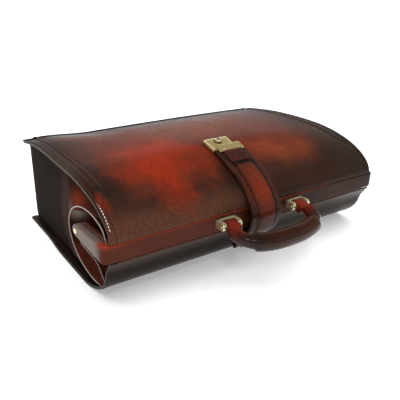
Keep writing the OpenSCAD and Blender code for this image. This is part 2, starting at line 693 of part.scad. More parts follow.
rivet_cap_h = 0.8;
module hasp_rivets() color(brass) set_down() hasp_rivet_places() {
    translate([0, 0, strap_gap]) cylinder(h = hasp_z + hasp_t - strap_gap, r = hasp_rivet_r);
    translate([0, 0, hasp_z + hasp_t]) cylinder(h = rivet_cap_h, r = hasp_rivet_r + 0.8);
}
tab_pull_y = hasp_y - hasp_l / 2 * cos(middle_slope(hasp_y)) - clear;
function pull_edge(h) = [for (i = [0:4]) over_panel(tab_pull_y - (1 - i / 4) * tab_pull_l, hasp_z + h)];
module pull_tab() color(leather) set_down()
    along_x(-tab_pull_w / 2, tab_pull_w / 2) ribbon(pull_edge(tab_pull_t), pull_edge(0));

back_panel();
back_lining();
bottom_panel();
bottom_board();
gusset_left();
gusset_right();
gusset_fold_left();
gusset_fold_right();
back_welt_left();
back_welt_right();
outer_frame_core();
outer_frame_cover();
frame_piping();
rivet_left();
rivet_right();
handle_bracket_left();
handle_bracket_right();
handle_pin_left();
handle_pin_right();
bracket_screws();
strap_lower();
strap_pad_lower();
inner_frame_core();
inner_frame_cover();
front_panel();
front_padding();
front_lining();
front_collar();
front_welt_left();
front_welt_right();
lock_base();
lock_body();
lock_rivets();
push_button();
key_plug();
latch_bolt();
strap_flap();
strap_pad();
hasp_plate();
hasp_hook();
hasp_rivets();
pull_tab();
handle_core();
handle_grip();
handle_tab_left();
handle_tab_right();
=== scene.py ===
"""Leather frame briefcase lying on its back, dressed in leather, thread and brass.

Sizes are in millimetres from the frame's outer face, as on a maker's drawing: X along the width, Y from the
mouth to the bottom, Z up from the back panel. at() turns them into the model's metres.
"""
from math import atan, atan2, ceil, cos, exp, hypot, pi, radians, sin, sqrt

import bpy
from bpy.props import FloatProperty, FloatVectorProperty, PointerProperty
from mathutils import Matrix, Vector


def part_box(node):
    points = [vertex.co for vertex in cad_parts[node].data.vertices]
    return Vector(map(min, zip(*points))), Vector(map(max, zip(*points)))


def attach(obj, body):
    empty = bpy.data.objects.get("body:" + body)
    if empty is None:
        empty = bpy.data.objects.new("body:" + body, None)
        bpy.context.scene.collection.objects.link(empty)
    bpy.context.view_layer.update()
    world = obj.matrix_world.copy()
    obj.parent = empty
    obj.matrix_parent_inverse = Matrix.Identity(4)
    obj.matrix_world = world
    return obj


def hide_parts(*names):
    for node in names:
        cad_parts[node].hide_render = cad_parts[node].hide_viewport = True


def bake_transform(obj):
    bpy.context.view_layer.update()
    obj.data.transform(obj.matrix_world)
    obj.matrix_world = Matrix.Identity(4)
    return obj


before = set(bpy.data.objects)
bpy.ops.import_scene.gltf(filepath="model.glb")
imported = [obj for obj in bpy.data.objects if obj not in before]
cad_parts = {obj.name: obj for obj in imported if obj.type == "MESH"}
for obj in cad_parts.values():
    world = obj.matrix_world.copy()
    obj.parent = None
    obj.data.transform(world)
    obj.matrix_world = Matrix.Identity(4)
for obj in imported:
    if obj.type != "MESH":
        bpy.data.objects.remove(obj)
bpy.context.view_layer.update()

bl_info = {
    "name": "Leather frame briefcase",
    "version": (1, 0, 0),
    "blender": (4, 5, 0),
    "location": "View3D > Sidebar > Briefcase",
    "description": "Dresses the packed briefcase in leather, thread and brass",
    "category": "Add Mesh",
}

# Case
REST = 185.5
HALF = 222.0
HEIGHT = 296.0
LIP = 2.0
SEAM_IN = 3.4
FINE_THREAD = (2.6, 3.6, 0.8)
HIDE = 2.4
WALL = 212.5
FOOT = 89.3
DEEP = 140.5
LOW = 126.0
SHOULDER = 130.0
RIDGE, RIDGE_IN, RIDGE_OUT = 204.0, 6.5, 3.5
CROWN = 8.0
FALL_POWER = 2.2
LINING = 209.0
BOTTOM_HALF = 210.1
CURL_Y, CURL_L, CURL_H = 75.0, 60.0, 44.0
EYE_Y, EYE_Z, EYE_L, EYE_H = 45.0, 68.0, 72.0, 46.0
EYE_SWELL = 13.0
# Frame
FRAME_Z = 77.0
FRAME_HALF = 232.3
BAND_T, BAND_H = 10.0, 24.0
INNER_HALF, INNER_Y, INNER_T, INNER_H = 221.2, 11.1, 7, 20
PIPING_HALF, PIPING_Y, PIPING_Z = 212.3, 5.2, 63.5
PIVOT_Y = 78.0
PIN_Y, PIN_Z, PITCH = 13.0, 79.0, 120.0
# Handle
DROOP = 15.0
TAB_W, TAB_END, TAB_T = 18.0, 27.0, 11.0
ARCH, ARCH_HALF = 33.9, 65.0
LUG_X, LUG_T, LUG_R = 9.5, 5.5, 5.5
PLATE_T, PLATE_H = 1.5, 12.0
# Strap
STRAP_W, STRAP_T = 50.0, 5.0
BOW_Y, BOW_Z, BOW_R = 27.0, 76.0, 37.0
FOLD = 29.2
FLAP_START, FLAP_END = 16.0, 75.7
FLAP_GAP = 0.5
# Lock
LOCK_Y, LOCK_X, LOCK_L, LOCK_W, LOCK_T = 90.0, -6.0, 28.0, 40.0, 4.6
BUTTON_Y = 4.5
HASP_FOOT, HASP_TOP = 5.8, 8.2
# Camera, in degrees, metres and millimetres
VIEW_TURN, VIEW_HEIGHT, VIEW_ROLL = -35.020, 24.203, 1.483
VIEW_DISTANCE, VIEW_LENS = 0.8169, 47.81
VIEW_AIM = (-13.3, 123.4, 50.0)


def at(x, y, z):
    return Vector((x, y - REST, z)) / 1000


def smooth(t):
    t = min(1.0, max(0.0, t))
    return t * t * (3 - 2 * t)


def hump(distance, width):
    return exp(-(distance / width) ** 2)


# Lines of the case

def edge_z(y):
    """Height of the stitched edge of the front panel."""
    if y < SHOULDER:
        return FOOT + (DEEP - FOOT) * sqrt(max(0.0, 1 - ((SHOULDER - y) / SHOULDER) ** 2))
    return DEEP - (DEEP - LOW) * ((min(y, HEIGHT) - SHOULDER) / (HEIGHT - SHOULDER)) ** FALL_POWER


def crown(x, y):
    fall = 1 - 0.7 * smooth((y - SHOULDER) / (HEIGHT - SHOULDER))
    return CROWN * max(0.0, 1 - (abs(x) / RIDGE) ** 2.2) * smooth((y - 40) / 70) * fall


def middle_z(y):
    return edge_z(y) + 1.6 * smooth((y - 4) / 30) + crown(0, y)


def middle_slope(y):
    return atan(middle_z(y + 0.5) - middle_z(y - 0.5))


def over_panel(y, height):
    """A point at a height over the middle line of the front panel."""
    lean = middle_slope(y)
    return y - height * sin(lean), middle_z(y) + height * cos(lean)


def ridge_line(y):
    """How far out the front's ridge runs: straight, then out to the edge beside the mouth."""
    return RIDGE + (HALF - RIDGE - 4) * smooth((64 - y) / 34)


def corner_rise(x, y):
    """How far the far left corner of the front stands up."""
    return 6 * smooth((y - 130) / 130) * smooth((-x - 110) / 90)


def bulge(x, y):
    """X on the back: its left edge bows out beside the eye, and the roll's right end reaches further."""
    left = 3.2 * smooth((-x - 200) / 20) * smooth((y - 30) / 50) * smooth((230 - y) / 70)
    return x - left + 6 * smooth((x - 200) / 22) * smooth((70 - y) / 60)


def front_z(x, y):
    out = abs(x) - ridge_line(y)
    shown = smooth((y - 6) / 16)
    ridge = 1.8 * hump(out, 1.9) + 1.1 * smooth(-out / 2.4) - 0.5 * hump(out + 4.6, 0.9)
    return edge_z(y) + shown * ridge + crown(x, y) + corner_rise(x, y)


def front_line(inset, first=0.0, last=HEIGHT + LIP, steps=90):
    """The front panel's edge seen from the side, an inset below its outside."""
    points = []
    for i in range(steps + 1):
        a = pi / 2 * i / steps
        y = SHOULDER - (SHOULDER - inset) * cos(a)
        if y >= first - 0.01:
            points.append((y, FOOT + (DEEP - FOOT - inset) * sin(a)))
    rear = [SHOULDER + (last - SHOULDER) * i / 40 for i in range(1, 41)]
    return points + [(y, edge_z(y) - inset) for y in rear]


def curl_point(angle, inset):
    a = radians(angle)
    return CURL_Y - (CURL_L - inset) * sin(a), CURL_H - (CURL_H - inset) * cos(a)


def back_line(inset, last=90):
    return [(HEIGHT + LIP, inset), (180, inset)] + [curl_point(a, inset) for a in range(0, last + 1, 3)]


class Route:
    """A line of points that is read by its share of the length."""

    def __init__(self, points, soften=0, pitch=2.0):
        self.set([Vector(p) for p in points])
        if soften:
            even = self.spread(pitch)
            for _ in range(soften):
                inner = [(a + 2 * b + c) / 4 for a, b, c in zip(even, even[1:], even[2:])]
                even = [even[0]] + inner + [even[-1]]
            self.set(even)

    def set(self, points):
        self.points = points
        self.marks = [0.0]
        for a, b in zip(points, points[1:]):
            self.marks.append(self.marks[-1] + (b - a).length)
        self.length = self.marks[-1]

    def at(self, share):
        goal = min(max(share, 0.0), 1.0) * self.length
        for i in range(1, len(self.marks)):
            if goal <= self.marks[i] or i == len(self.marks) - 1:
                step = self.marks[i] - self.marks[i - 1]
                part = (goal - self.marks[i - 1]) / step if step else 0
                return self.points[i - 1].lerp(self.points[i], part)

    def heading(self, share):
        d = 1.5 / self.length
        return (self.at(min(share + d, 1)) - self.at(max(share - d, 0))).normalized()

    def spread(self, pitch):
        n = max(2, ceil(self.length / pitch))
        return [self.at(i / n) for i in range(n + 1)]


def section(points, **settings):
    """A route through (y, z) points in the middle of the case."""
    return Route([(0, *p) for p in points], **settings)


def ring(count):
    return [(cos(2 * pi * k / count), sin(2 * pi * k / count)) for k in range(count)]


# Work on the mesh

def fresh():
    if bpy.context.object and bpy.context.object.mode != "OBJECT":
        bpy.ops.object.mode_set(mode="OBJECT")
    bpy.ops.object.select_all(action="DESELECT")


def hold(piece):
    fresh()
    piece.select_set(True)
    bpy.context.view_layer.objects.active = piece
    return piece


def cut_sheet(name, across, along, place):
    """A flat grid whose points are then laid where place(i, j) says, in millimetres."""
    fresh()
    bpy.ops.mesh.primitive_grid_add(x_subdivisions=across, y_subdivisions=along, size=1)
    piece = bpy.context.object
    piece.name = name
    piece.data.name = name
    for v in piece.data.vertices:
        v.co = at(*place(round((v.co.x + 0.5) * across), round((v.co.y + 0.5) * along)))
    return piece


def edit(piece, *steps):
    """Runs the steps in edit mode on the whole mesh."""
    hold(piece)
    bpy.ops.object.mode_set(mode="EDIT")
    bpy.ops.mesh.select_all(action="SELECT")
    for step in steps:
        step()
    bpy.ops.object.mode_set(mode="OBJECT")


def merge():
    bpy.ops.mesh.remove_doubles(threshold=1e-6)


def close_ends():
    bpy.ops.mesh.fill_holes(sides=0)


def outwards():
    bpy.ops.mesh.select_all(action="SELECT")
    bpy.ops.mesh.normals_make_consistent(inside=False)


def look(piece, direction):
    """Turns a sheet over where its faces look away from a direction."""
    if sum(face.normal.dot(Vector(direction)) * face.area for face in piece.data.polygons) < 0:
        edit(piece, bpy.ops.mesh.flip_normals)


def shape_with(piece, kind, **settings):
    hold(piece)
    bpy.ops.object.modifier_add(type=kind)
    modifier = piece.modifiers[-1]
    for key, value in settings.items():
        setattr(modifier, key, value)
    bpy.ops.object.modifier_apply(modifier=modifier.name)
    return piece


def two_slots(piece):
    """Two empty slots, so that some faces can take a second finish."""
    for _ in range(2):
        piece.data.materials.append(None)


def thicken(piece, thickness, edge_finish=True):
    """Gives a sheet its thickness on the inside, and rounds its cut edge."""
    if edge_finish:
        two_slots(piece)
    shape_with(piece, "SOLIDIFY", thickness=thickness / 1000, offset=-1,
               material_offset_rim=1 if edge_finish else 0)
    return round_edges(piece, min(0.7, thickness * 0.35), 60)


def sink_tops(piece, border=1.2, step=0.4):
    """Sinks the faces that look up inside a border, which takes the piece's second finish."""
    level = 0.98

    def inset(width, depth):
        bpy.ops.object.mode_set(mode="EDIT")
        bpy.ops.mesh.inset(thickness=width / 1000, depth=depth / 1000)
        bpy.ops.object.mode_set(mode="OBJECT")

    two_slots(piece)
    edit(piece, lambda: bpy.ops.mesh.select_mode(type="FACE"),
         lambda: bpy.ops.mesh.select_all(action="DESELECT"))
    for face in piece.data.polygons:
        face.select = face.normal.z > level
    inset(border, 0)
    for face in piece.data.polygons:
        if face.normal.z > level and not face.select:
            face.material_index = 1
    inset(step, -step)
    return piece


def round_edges(piece, width, angle=40, segments=2):
    return shape_with(piece, "BEVEL", width=width / 1000, segments=segments, limit_method="ANGLE",
                      angle_limit=radians(angle), harden_normals=False)


def drawn(name, stations, profile, close=True):
    """A closed profile drawn along stations: each station turns a profile point into a place."""
    n = len(profile)
    piece = cut_sheet(name, len(stations) - 1, n, lambda i, j: stations[i](*profile[j % n]))
    edit(piece, merge, *([close_ends] if close else []), outwards)
    return piece


def rounded(width, height, radius, steps=4, flats=2):
    """Points round a rectangle with round corners, centred on the origin."""
    points = []
    corners = [(1, 1, 0), (-1, 1, 90), (-1, -1, 180), (1, -1, 270)]
    for i, (sx, sy, turn) in enumerate(corners):
        cx, cy = sx * (width / 2 - radius), sy * (height / 2 - radius)
        arc = [(cx + radius * cos(radians(turn + 90 * k / steps)),
                cy + radius * sin(radians(turn + 90 * k / steps))) for k in range(steps + 1)]
        points += arc
        nx, ny, nturn = corners[(i + 1) % 4]
        after = (nx * (width / 2 - radius) + radius * cos(radians(nturn)),
                 ny * (height / 2 - radius) + radius * sin(radians(nturn)))
        for k in range(1, flats):
            points.append((arc[-1][0] + (after[0] - arc[-1][0]) * k / flats,
                           arc[-1][1] + (after[1] - arc[-1][1]) * k / flats))
    return points


def outline_block(name, outline, low, high):
    """A filled outline in (y, z) drawn out along X from low to high."""
    fresh()
    bpy.ops.mesh.primitive_circle_add(vertices=len(outline), radius=1, fill_type="NGON")
    piece = bpy.context.object
    piece.name = name
    for v, (y, z) in zip(piece.data.vertices, outline):
        v.co = at(low, y, z)
    edit(piece, lambda: bpy.ops.mesh.extrude_region_move(
        TRANSFORM_OT_translate={"value": ((high - low) / 1000, 0, 0)}), outwards)
    return piece


def block(name, low, high):
    fresh()
    bpy.ops.mesh.primitive_cube_add(size=1)
    piece = bpy.context.object
    piece.name = name
    for v in piece.data.vertices:
        v.co = at(*[low[k] if v.co[k] < 0 else high[k] for k in range(3)])
    return piece


def turned(name, profile, centre, axis, steps=36):
    """A profile of (radius, height) turned round an axis through the centre."""
    axis = Vector(axis).normalized()
    side = axis.orthogonal().normalized()
    up = axis.cross(side)
    rings = [lambda a, _, r=r, h=h: Vector(centre) + axis * h + r * (cos(a) * side + sin(a) * up)
             for r, h in profile]
    return drawn(name, rings, [(2 * pi * k / steps, 0) for k in range(steps)])


def join(pieces, name):
    fresh()
    for piece in pieces:
        piece.select_set(True)
    bpy.context.view_layer.objects.active = pieces[0]
    bpy.ops.object.join()
    pieces[0].name = name
    return pieces[0]


def dress(piece, slot, *finishes, smooth_angle=40):
    """Gives a piece its finishes and smooth shading; the slot it is handed is not used."""
    hold(piece)
    bpy.ops.object.shade_smooth_by_angle(angle=radians(smooth_angle))
    slots = piece.data.materials
    while len(slots) < len(finishes):
        slots.append(None)
    for k, finish in enumerate(finishes):
        slots[k] = finish
    return piece


def stitches(name, rows, length=3.0, pitch=4.2, thick=0.9, slot="case_leather"):
    """Rows of thread: one stitch is modelled, and its copies follow each row of (route, up) pairs."""
    fresh()
    bpy.ops.mesh.primitive_uv_sphere_add(segments=6, ring_count=4, radius=0.0005)
    seed = bpy.context.object
    edit(seed, lambda: bpy.ops.transform.resize(value=(thick, thick, length)))
    copies = []
    for route, up in rows:
        count = max(1, round(route.length / pitch))
        for k in range(count):
            share = (k + 0.5) / count
            along = route.heading(share)
            lift = up(share) if callable(up) else Vector(up)
            side = along.cross(lift).normalized()
            lift = side.cross(along).normalized()
            turn = Matrix((side, lift, along)).transposed().to_4x4()
            stitch = seed.copy()
            stitch.data = seed.data.copy()
            stitch.data.transform(Matrix.Translation(at(*route.at(share))) @ turn)
            bpy.context.scene.collection.objects.link(stitch)
            copies.append(stitch)
    bpy.data.objects.remove(seed)
    piece = join(copies, name)
    edit(piece, outwards)
    return dress(piece, slot, thread(), smooth_angle=80)


# Finishes

class Reading:
    """A socket of a finish, so that shader sums read as plain sums."""

    def __init__(self, finish, socket):
        self.finish = finish
        self.socket = socket

    def math(self, operation, *values):
        return self.finish.node("ShaderNodeMath", {"operation": operation}, dict(enumerate(values)))

    def __add__(self, other):
        return self.math("ADD", self, other)

    def __mul__(self, other):
        return self.math("MULTIPLY", self, other)

    def __sub__(self, other):
        return self.math("SUBTRACT", self, other)

    def __rsub__(self, other):
        return self.math("SUBTRACT", other, self)

    def __truediv__(self, other):
        return self.math("DIVIDE", self, other)

    def __abs__(self):
        return self.math("ABSOLUTE", self)

    __radd__ = __add__
    __rmul__ = __mul__


class Finish:
    """A material made of nodes round one surface shader."""

    def __init__(self, name, **constants):
        self.material = bpy.data.materials.new(name)
        self.material.use_nodes = True
        self.tree = self.material.node_tree
        self.tree.nodes.clear()
        self.surface = self.tree.nodes.new("ShaderNodeBsdfPrincipled")
        out = self.tree.nodes.new("ShaderNodeOutputMaterial")
        self.tree.links.new(self.surface.outputs[0], out.inputs["Surface"])
        for key, value in constants.items():
            self.surface.inputs[key.replace("_", " ")].default_value = value
        self.here = self.node("ShaderNodeTexCoord", out="Object")

    def node(self, kind, settings=None, inputs=None, out=0):
        node = self.tree.nodes.new(kind)
        for key, value in (settings or {}).items():
            if key == "stops":
                while len(node.color_ramp.elements) < len(value):
                    node.color_ramp.elements.new(0.5)
                for element, (place, colour) in zip(node.color_ramp.elements, value):
                    element.position = place
                    element.color = (*colour, 1)
            else:
                setattr(node, key, value)
        for key, value in (inputs or {}).items():
            if isinstance(value, Reading):
                self.tree.links.new(value.socket, node.inputs[key])
            else:
                node.inputs[key].default_value = value
        return Reading(self, node.outputs[out])

    def noise(self, scale, detail=3.0, rough=0.5, where=None):
        return self.node("ShaderNodeTexNoise", None, {"Vector": where or self.here, "Scale": scale,
                                                      "Detail": detail, "Roughness": rough})

    def step(self, value, low, high):
        """0 below low and 1 above high, with a smooth rise between them."""
        return self.node("ShaderNodeMapRange", {"interpolation_type": "SMOOTHSTEP"},
                         {"Value": value, "From Min": low, "From Max": high})

    def along(self, axis, low, high):
        """0 below low and 1 above high, in millimetres along an axis."""
        split = self.node("ShaderNodeSeparateXYZ", None, {0: self.here}, out=axis)
        back = REST if axis == "Y" else 0
        return self.step(split, (low - back) / 1000, (high - back) / 1000)

    def line(self, side, centre, width):
        """1 on a line drawn on the piece's own map, 0 past its width; side is X or Y of the map."""
        sheet = self.node("ShaderNodeTexCoord", out="UV")
        here = self.node("ShaderNodeSeparateXYZ", None, {0: sheet}, out=side)
        return 1 - self.step(abs(here - centre), width * 0.5, width)

    def near(self, place, radius, stretch=(1, 1, 1), uneven=0.0):
        """1 at a place in millimetres, and 0 past a radius from it; uneven clouds the edge."""
        point = at(*place)
        gap = self.node("ShaderNodeVectorMath", {"operation": "SUBTRACT"}, {0: self.here, 1: point})
        gap = self.node("ShaderNodeVectorMath", {"operation": "DIVIDE"}, {0: gap, 1: stretch})
        far = self.node("ShaderNodeVectorMath", {"operation": "LENGTH"}, {0: gap}, out="Value")
        if uneven:
            far = far + (self.noise(16.0, 4.0, 0.6) - 0.5) * (uneven * radius / 1000)
        return 1 - self.step(far, 0.0, radius / 1000)

    def mix(self, mask, first, second):
        return self.node("ShaderNodeMix", {"data_type": "RGBA"}, {0: mask, 6: first, 7: second}, out=2)

    def feed(self, key, value):
        self.tree.links.new(value.socket, self.surface.inputs[key])

    def relief(self, height, strength, depth):
        self.feed("Normal", self.node("ShaderNodeBump", None, {"Height": height, "Strength": strength,
                                                               "Distance": depth / 1000}))


def grey(value):
    return (value, value, value, 1)


def shade(tone, share):
    return tuple(v * share for v in tuple(tone)[:3]) + (1,)


def colour(*rgb):
    """A colour as it shows on a screen, 0 to 255, as the shader's own numbers."""
    return tuple(((c / 255 + 0.055) / 1.055) ** 2.4 if c > 10 else c / 255 / 12.92 for c in rgb) + (1,)


made = {}


def once(build):
    def get(*args):
        key = (build.__name__, *args)
        if key not in made:
            made[key] = build(*args)
        return made[key]
    return get


def leather(name, dark, middle, layers=(), gloss=0.3, grain=1.0, specular=0.3, wax=1.0, matt=None,
            flecks=0.2):
    """Burnished leather: cloudy colour, then a layer of colour wherever each mask is 1."""
    kit = bpy.context.scene.briefcase_finish
    f = Finish(name, Coat_Weight=kit.wax * wax, Coat_Roughness=0.14, Specular_IOR_Level=specular)
    cloud = f.noise(14.0, 4.0, 0.55)
    fine = f.noise(110.0, 3.0, 0.6)
    base = f.mix(f.step(cloud + fine * 0.25, 0.42, 0.78), dark, middle)
    for mask, tone in layers:
        base = f.mix(mask(f) * (0.55 + cloud * 0.65 + fine * 0.25), base, tone)
    cells = f.node("ShaderNodeTexVoronoi", {"feature": "DISTANCE_TO_EDGE"},
                   {"Vector": f.here, "Scale": 820.0, "Randomness": 0.9})
    pores = f.noise(2200.0, 2.0, 0.5)
    height = f.step(cells, 0.0, 0.16) * 0.7 + pores * 0.3
    mottle = 1 - f.step(f.noise(330.0, 3.0, 0.75), 0.36, 0.6)
    f.feed("Base Color", f.mix(mottle * flecks + (1 - height) * 0.2, base, shade(dark, 0.8)))
    f.relief(height + f.noise(55.0, 2.0) * 1.5, 0.09 * grain * kit.grain, 0.3)
    rough = gloss + (f.noise(30.0, 3.0) - 0.5) * 0.12 + (1 - height) * 0.05
    f.feed("Roughness", rough + matt(f) * 0.5 if matt else rough)
    return f.material


@once
def front_hide():
    c = bpy.context.scene.briefcase_finish
    black = shade(c.dark, 0.35)
    return leather("front_hide", shade(c.dark, 1.2), shade(c.brown, 0.8), (
        (lambda f: f.along("X", -206, -140) * (1 - f.along("X", 90, 215)) * f.along("Y", 22, 75)
         * (1 - f.along("Y", 225, 290)), tuple(c.russet)),
        (lambda f: (1 - f.along("Y", 4, 46)) * 0.9, colour(54, 34, 26)),
        # Painted reflection: lighter grey-brown on the steep left part of the front beside the mouth.
        (lambda f: (1 - f.along("Y", 2, 26)) * (1 - f.along("X", -90, 40)) * 0.9, colour(94, 58, 42)),
        (lambda f: f.near((-101, 102, 132), 84, (1.0, 1.3, 2.0), 1.6) * 1.25, tuple(c.warm)),
        (lambda f: f.near((10, 176, 145), 130, (1.1, 0.6, 1), 1.2) * 0.6, colour(126, 70, 48)),
        (lambda f: f.near((82, 66, 122), 82, (1.0, 0.6, 1), 1.6), colour(128, 55, 28)),
        (lambda f: f.near((-212, 42, 110), 34, (0.35, 1, 1.2)) * 0.8, tuple(c.warm)),
        # Painted shadow of the strap on the front panel beside it.
        (lambda f: f.near((-30, 46, 112), 48, (0.45, 1.1, 1)) * 1.1, shade(c.dark, 0.8)),
        (lambda f: f.along("X", 130, 215) * (1 - f.along("Y", 70, 110)) * 0.8, colour(44, 38, 31)),
        (lambda f: (1 - f.along("X", -212, -180)) * f.along("Y", 50, 90) * 0.6, colour(52, 34, 26)),
        # Painted shadow: dark lines in the grooves inside the ridge, where its raised edge throws shade.
        (lambda f: (f.line("X", 0.1856, 0.007) + f.line("X", 0.8144, 0.007)) * 0.9, black),
        (lambda f: (f.line("X", 0.045, 0.02) + f.line("X", 0.955, 0.02)) * 0.6, black),
        (lambda f: f.along("Y", 240, 288), black)),
        gloss=0.27, specular=0.05, wax=0.12, matt=lambda f: f.along("Y", 276, 290), flecks=0.36)


@once
def dark_border():
    """The blackened leather along the far edge."""
    c = bpy.context.scene.briefcase_finish
    return leather("dark_border", shade(c.dark, 0.35), shade(c.dark, 0.8), gloss=0.55, specular=0.0, wax=0.0)


@once
def back_hide():
    c = bpy.context.scene.briefcase_finish
    return leather("back_hide", shade(c.dark, 0.8), shade(c.dark, 1.7), (
        (lambda f: f.along("Z", 44, 52) * (1 - f.along("Y", 20, 60)) * 0.9, colour(60, 42, 34)),
        (lambda f: f.along("Z", 48.6, 49.4) * (1 - f.along("Z", 51.6, 52.4))
         * (1 - f.along("Y", 10, 20)) * 1.3, shade(c.dark, 0.2))),
        gloss=0.3, specular=0.06, wax=0.16)


@once
def side_hide():
    c = bpy.context.scene.briefcase_finish
    return leather("side_hide", shade(c.dark, 0.6), shade(c.dark, 1.2), (
        (lambda f: (1 - f.along("Y", 95, 190)) * f.along("Z", 20, 60) * 0.6, colour(66, 32, 22)),
        # Painted light: warm red-orange where the side leather above the eye faces up into the light.
        (lambda f: f.near((-214, 82, 112), 36, (1, 1.1, 0.7)), colour(116, 44, 22)),
        (lambda f: f.near((214, 82, 112), 36, (1, 1.1, 0.7)), colour(116, 44, 22)),
        (lambda f: (1 - f.along("Z", 40, 56)) * (1 - f.along("Y", 96, 116)) * 0.8, colour(84, 38, 26)),
        # Painted highlights on the left side only: a pale spot by the eye's far rim and a paler patch on the
        # fold inside the eye.
        (lambda f: f.near((-216, 104, 90), 17, (1, 1, 1.5)), colour(134, 120, 112)),
        (lambda f: f.near((-214, 34, 98), 24), colour(100, 78, 68))),
        gloss=0.55, specular=0.008, wax=0.0)


@once
def frame_hide():
    c = bpy.context.scene.briefcase_finish
    return leather("frame_hide", shade(c.dark, 0.9), shade(c.brown, 0.7), (
        # Painted light and shade: the band is lighter towards its left end and darker towards its right end.
        (lambda f: 1 - f.along("X", -120, 60), colour(84, 38, 25)),
        (lambda f: f.along("X", 0, 190) * 0.8, colour(58, 38, 32)),
        # Painted highlights: warm red-orange along the band's top edge and on the upper part of its left end.
        (lambda f: (1 - f.along("X", -218, -196)) * f.along("Z", 82, 86) * 1.2, colour(112, 42, 24)),
        (lambda f: f.along("Z", 85.5, 88.5) * (1 - f.along("X", 60, 160)), colour(140, 56, 34)),
        # Painted reflection: pale grey on the outer side of the left arm near the mouth.
        (lambda f: (1 - f.along("X", -228, -214)) * f.along("Y", 8, 26) * 1.2, colour(114, 98, 90))),
        gloss=0.26, specular=0.05, wax=0.15)


@once
def strap_hide():
    c = bpy.context.scene.briefcase_finish
    black = shade(c.dark, 0.4)
    return leather("strap_hide", shade(c.dark, 1.1), shade(c.brown, 0.8), (
        (lambda f: f.near((0, 6, 100), 64, (0.5, 1, 1)) * 1.0, colour(122, 44, 23)),
        (lambda f: f.along("Y", 40, 60) * (1 - f.along("Z", 133, 139)) * 0.5, shade(c.brown, 0.9)),
        # Painted shade: darker brown on the strap's lower part below the bend, which faces down under the
        # handle.
        (lambda f: (1 - f.along("Z", 56, 80)) * 0.85, colour(58, 32, 25)),
        (lambda f: f.along("X", 13, 17) * 0.6, colour(60, 36, 34)),
        # Painted shadow under the pull tab's lower edge.
        (lambda f: f.near((1, 42, 132), 11, (2.6, 0.6, 1)) * 1.8, black),
        (lambda f: (f.line("Y", 0.1305, 0.018) + f.line("Y", 0.6495, 0.018)) * 0.9, black)),
        gloss=0.2, specular=0.1, wax=0.3)


@once
def tab_hide():
    """The pull tab's darker leather."""
    c = bpy.context.scene.briefcase_finish
    return leather("tab_hide", shade(c.dark, 1.2), colour(76, 27, 20), gloss=0.25, specular=0.15, wax=0.4)


@once
def handle_hide():
    c = bpy.context.scene.briefcase_finish
    return leather("handle_hide", shade(c.dark, 0.9), shade(c.brown, 0.55), (
        (lambda f: f.near((-62, -24, 82), 26, (1, 1, 1)), colour(112, 32, 20)),
        (lambda f: f.near((58, -22, 84), 24, (1, 1, 1)), colour(112, 32, 20))),
        gloss=0.12, specular=0.12, wax=0.5)


@once
def cut_edge():
    """Painted edge of the leather, worn in patches."""
    f = Finish("cut_edge", Specular_IOR_Level=0.2)
    worn = f.step(f.noise(60.0, 3.0, 0.6), 0.2, 0.9)
    f.feed("Base Color", f.mix(worn, colour(40, 36, 31), colour(84, 82, 73)))
    f.feed("Roughness", 0.5 + worn * 0.3)
    f.relief(f.noise(900.0, 3.0, 0.7), 0.3, 0.2)
    return f.material


@once
def rim_highlight():
    """The thin rolled edge round the folded side leather, painted pale as a highlight where the fold's crest
    catches the light.
    """
    f = Finish("rim_highlight", Coat_Weight=0.5, Coat_Roughness=0.15)
    worn = f.noise(220.0, 3.0, 0.6)
    f.feed("Base Color", f.mix(worn, colour(112, 90, 84), colour(188, 168, 158)))
    f.feed("Roughness", 0.25 + worn * 0.2)
    f.relief(f.noise(1200.0, 2.0, 0.6), 0.25, 0.15)
    return f.material


@once
def thread():
    """Waxed linen thread with its twist."""
    kit = bpy.context.scene.briefcase_finish
    f = Finish("waxed_thread", Coat_Weight=0.3, Coat_Roughness=0.3)
    twist = f.node("ShaderNodeTexWave", {"bands_direction": "DIAGONAL"},
                   {"Vector": f.here, "Scale": 620.0, "Distortion": 1.0})
    plain = f.mix(twist, tuple(kit.thread), shade(kit.thread, 0.45))
    # Painted highlight: the stitches beside the left flange near the mouth are painted near white as glints.
    thread_glint = f.near((-219, 18, 108), 34) * (1 - f.along("X", -217.5, -216)) * 2
    f.feed("Base Color", f.mix(thread_glint, plain, colour(240, 228, 216)))
    f.feed("Roughness", 0.42 + twist * 0.15)
    f.relief(twist, 0.4, 0.1)
    return f.material


def brass(name, gloss, metal, wax, tone=None, shade_mask=None):
    kit = bpy.context.scene.briefcase_finish
    tone = tone or tuple(kit.brass)
    f = Finish(name, Metallic=metal, Coat_Weight=wax, Coat_Roughness=0.08)
    tarnish = f.step(f.noise(90.0, 3.0, 0.6), 0.55, 0.85)
    brushed = f.noise(300.0, 3.0, 0.6, where=f.node("ShaderNodeMapping", None, {
        "Vector": f.here, "Scale": (0.08, 6.0, 1.0)}))
    base = f.mix(tarnish, tone, shade(tone, 0.7))
    # Where shade_mask is 1 the brass is darkened: painted shade.
    f.feed("Base Color", f.mix(shade_mask(f), base, shade(tone, 0.16)) if shade_mask else base)
    f.feed("Roughness", gloss + brushed * 0.1 + tarnish * 0.1)
    f.relief(brushed, 0.03, 0.1)
    return f.material


@once
def polished_brass():
    return brass("polished_brass", 0.12, 0.85, 0.4, (0.95, 0.84, 0.5, 1))


@once
def bracket_brass():
    """Polished brass whose back plate is painted dark as shade behind the lugs and the bar."""
    return brass("bracket_brass", 0.12, 0.85, 0.4, (1.0, 0.9, 0.56, 1),
                 shade_mask=lambda f: f.along("Y", -2.6, -1.6))


# Dark brass for the button's collar: painted shade, a dark ring round the button.
@once
def shadow_ring_brass():
    return brass("shadow_ring_brass", 0.3, 0.8, 0.1, colour(92, 74, 36))


@once
def satin_brass():
    return brass("satin_brass", 0.26, 0.8, 0.2)


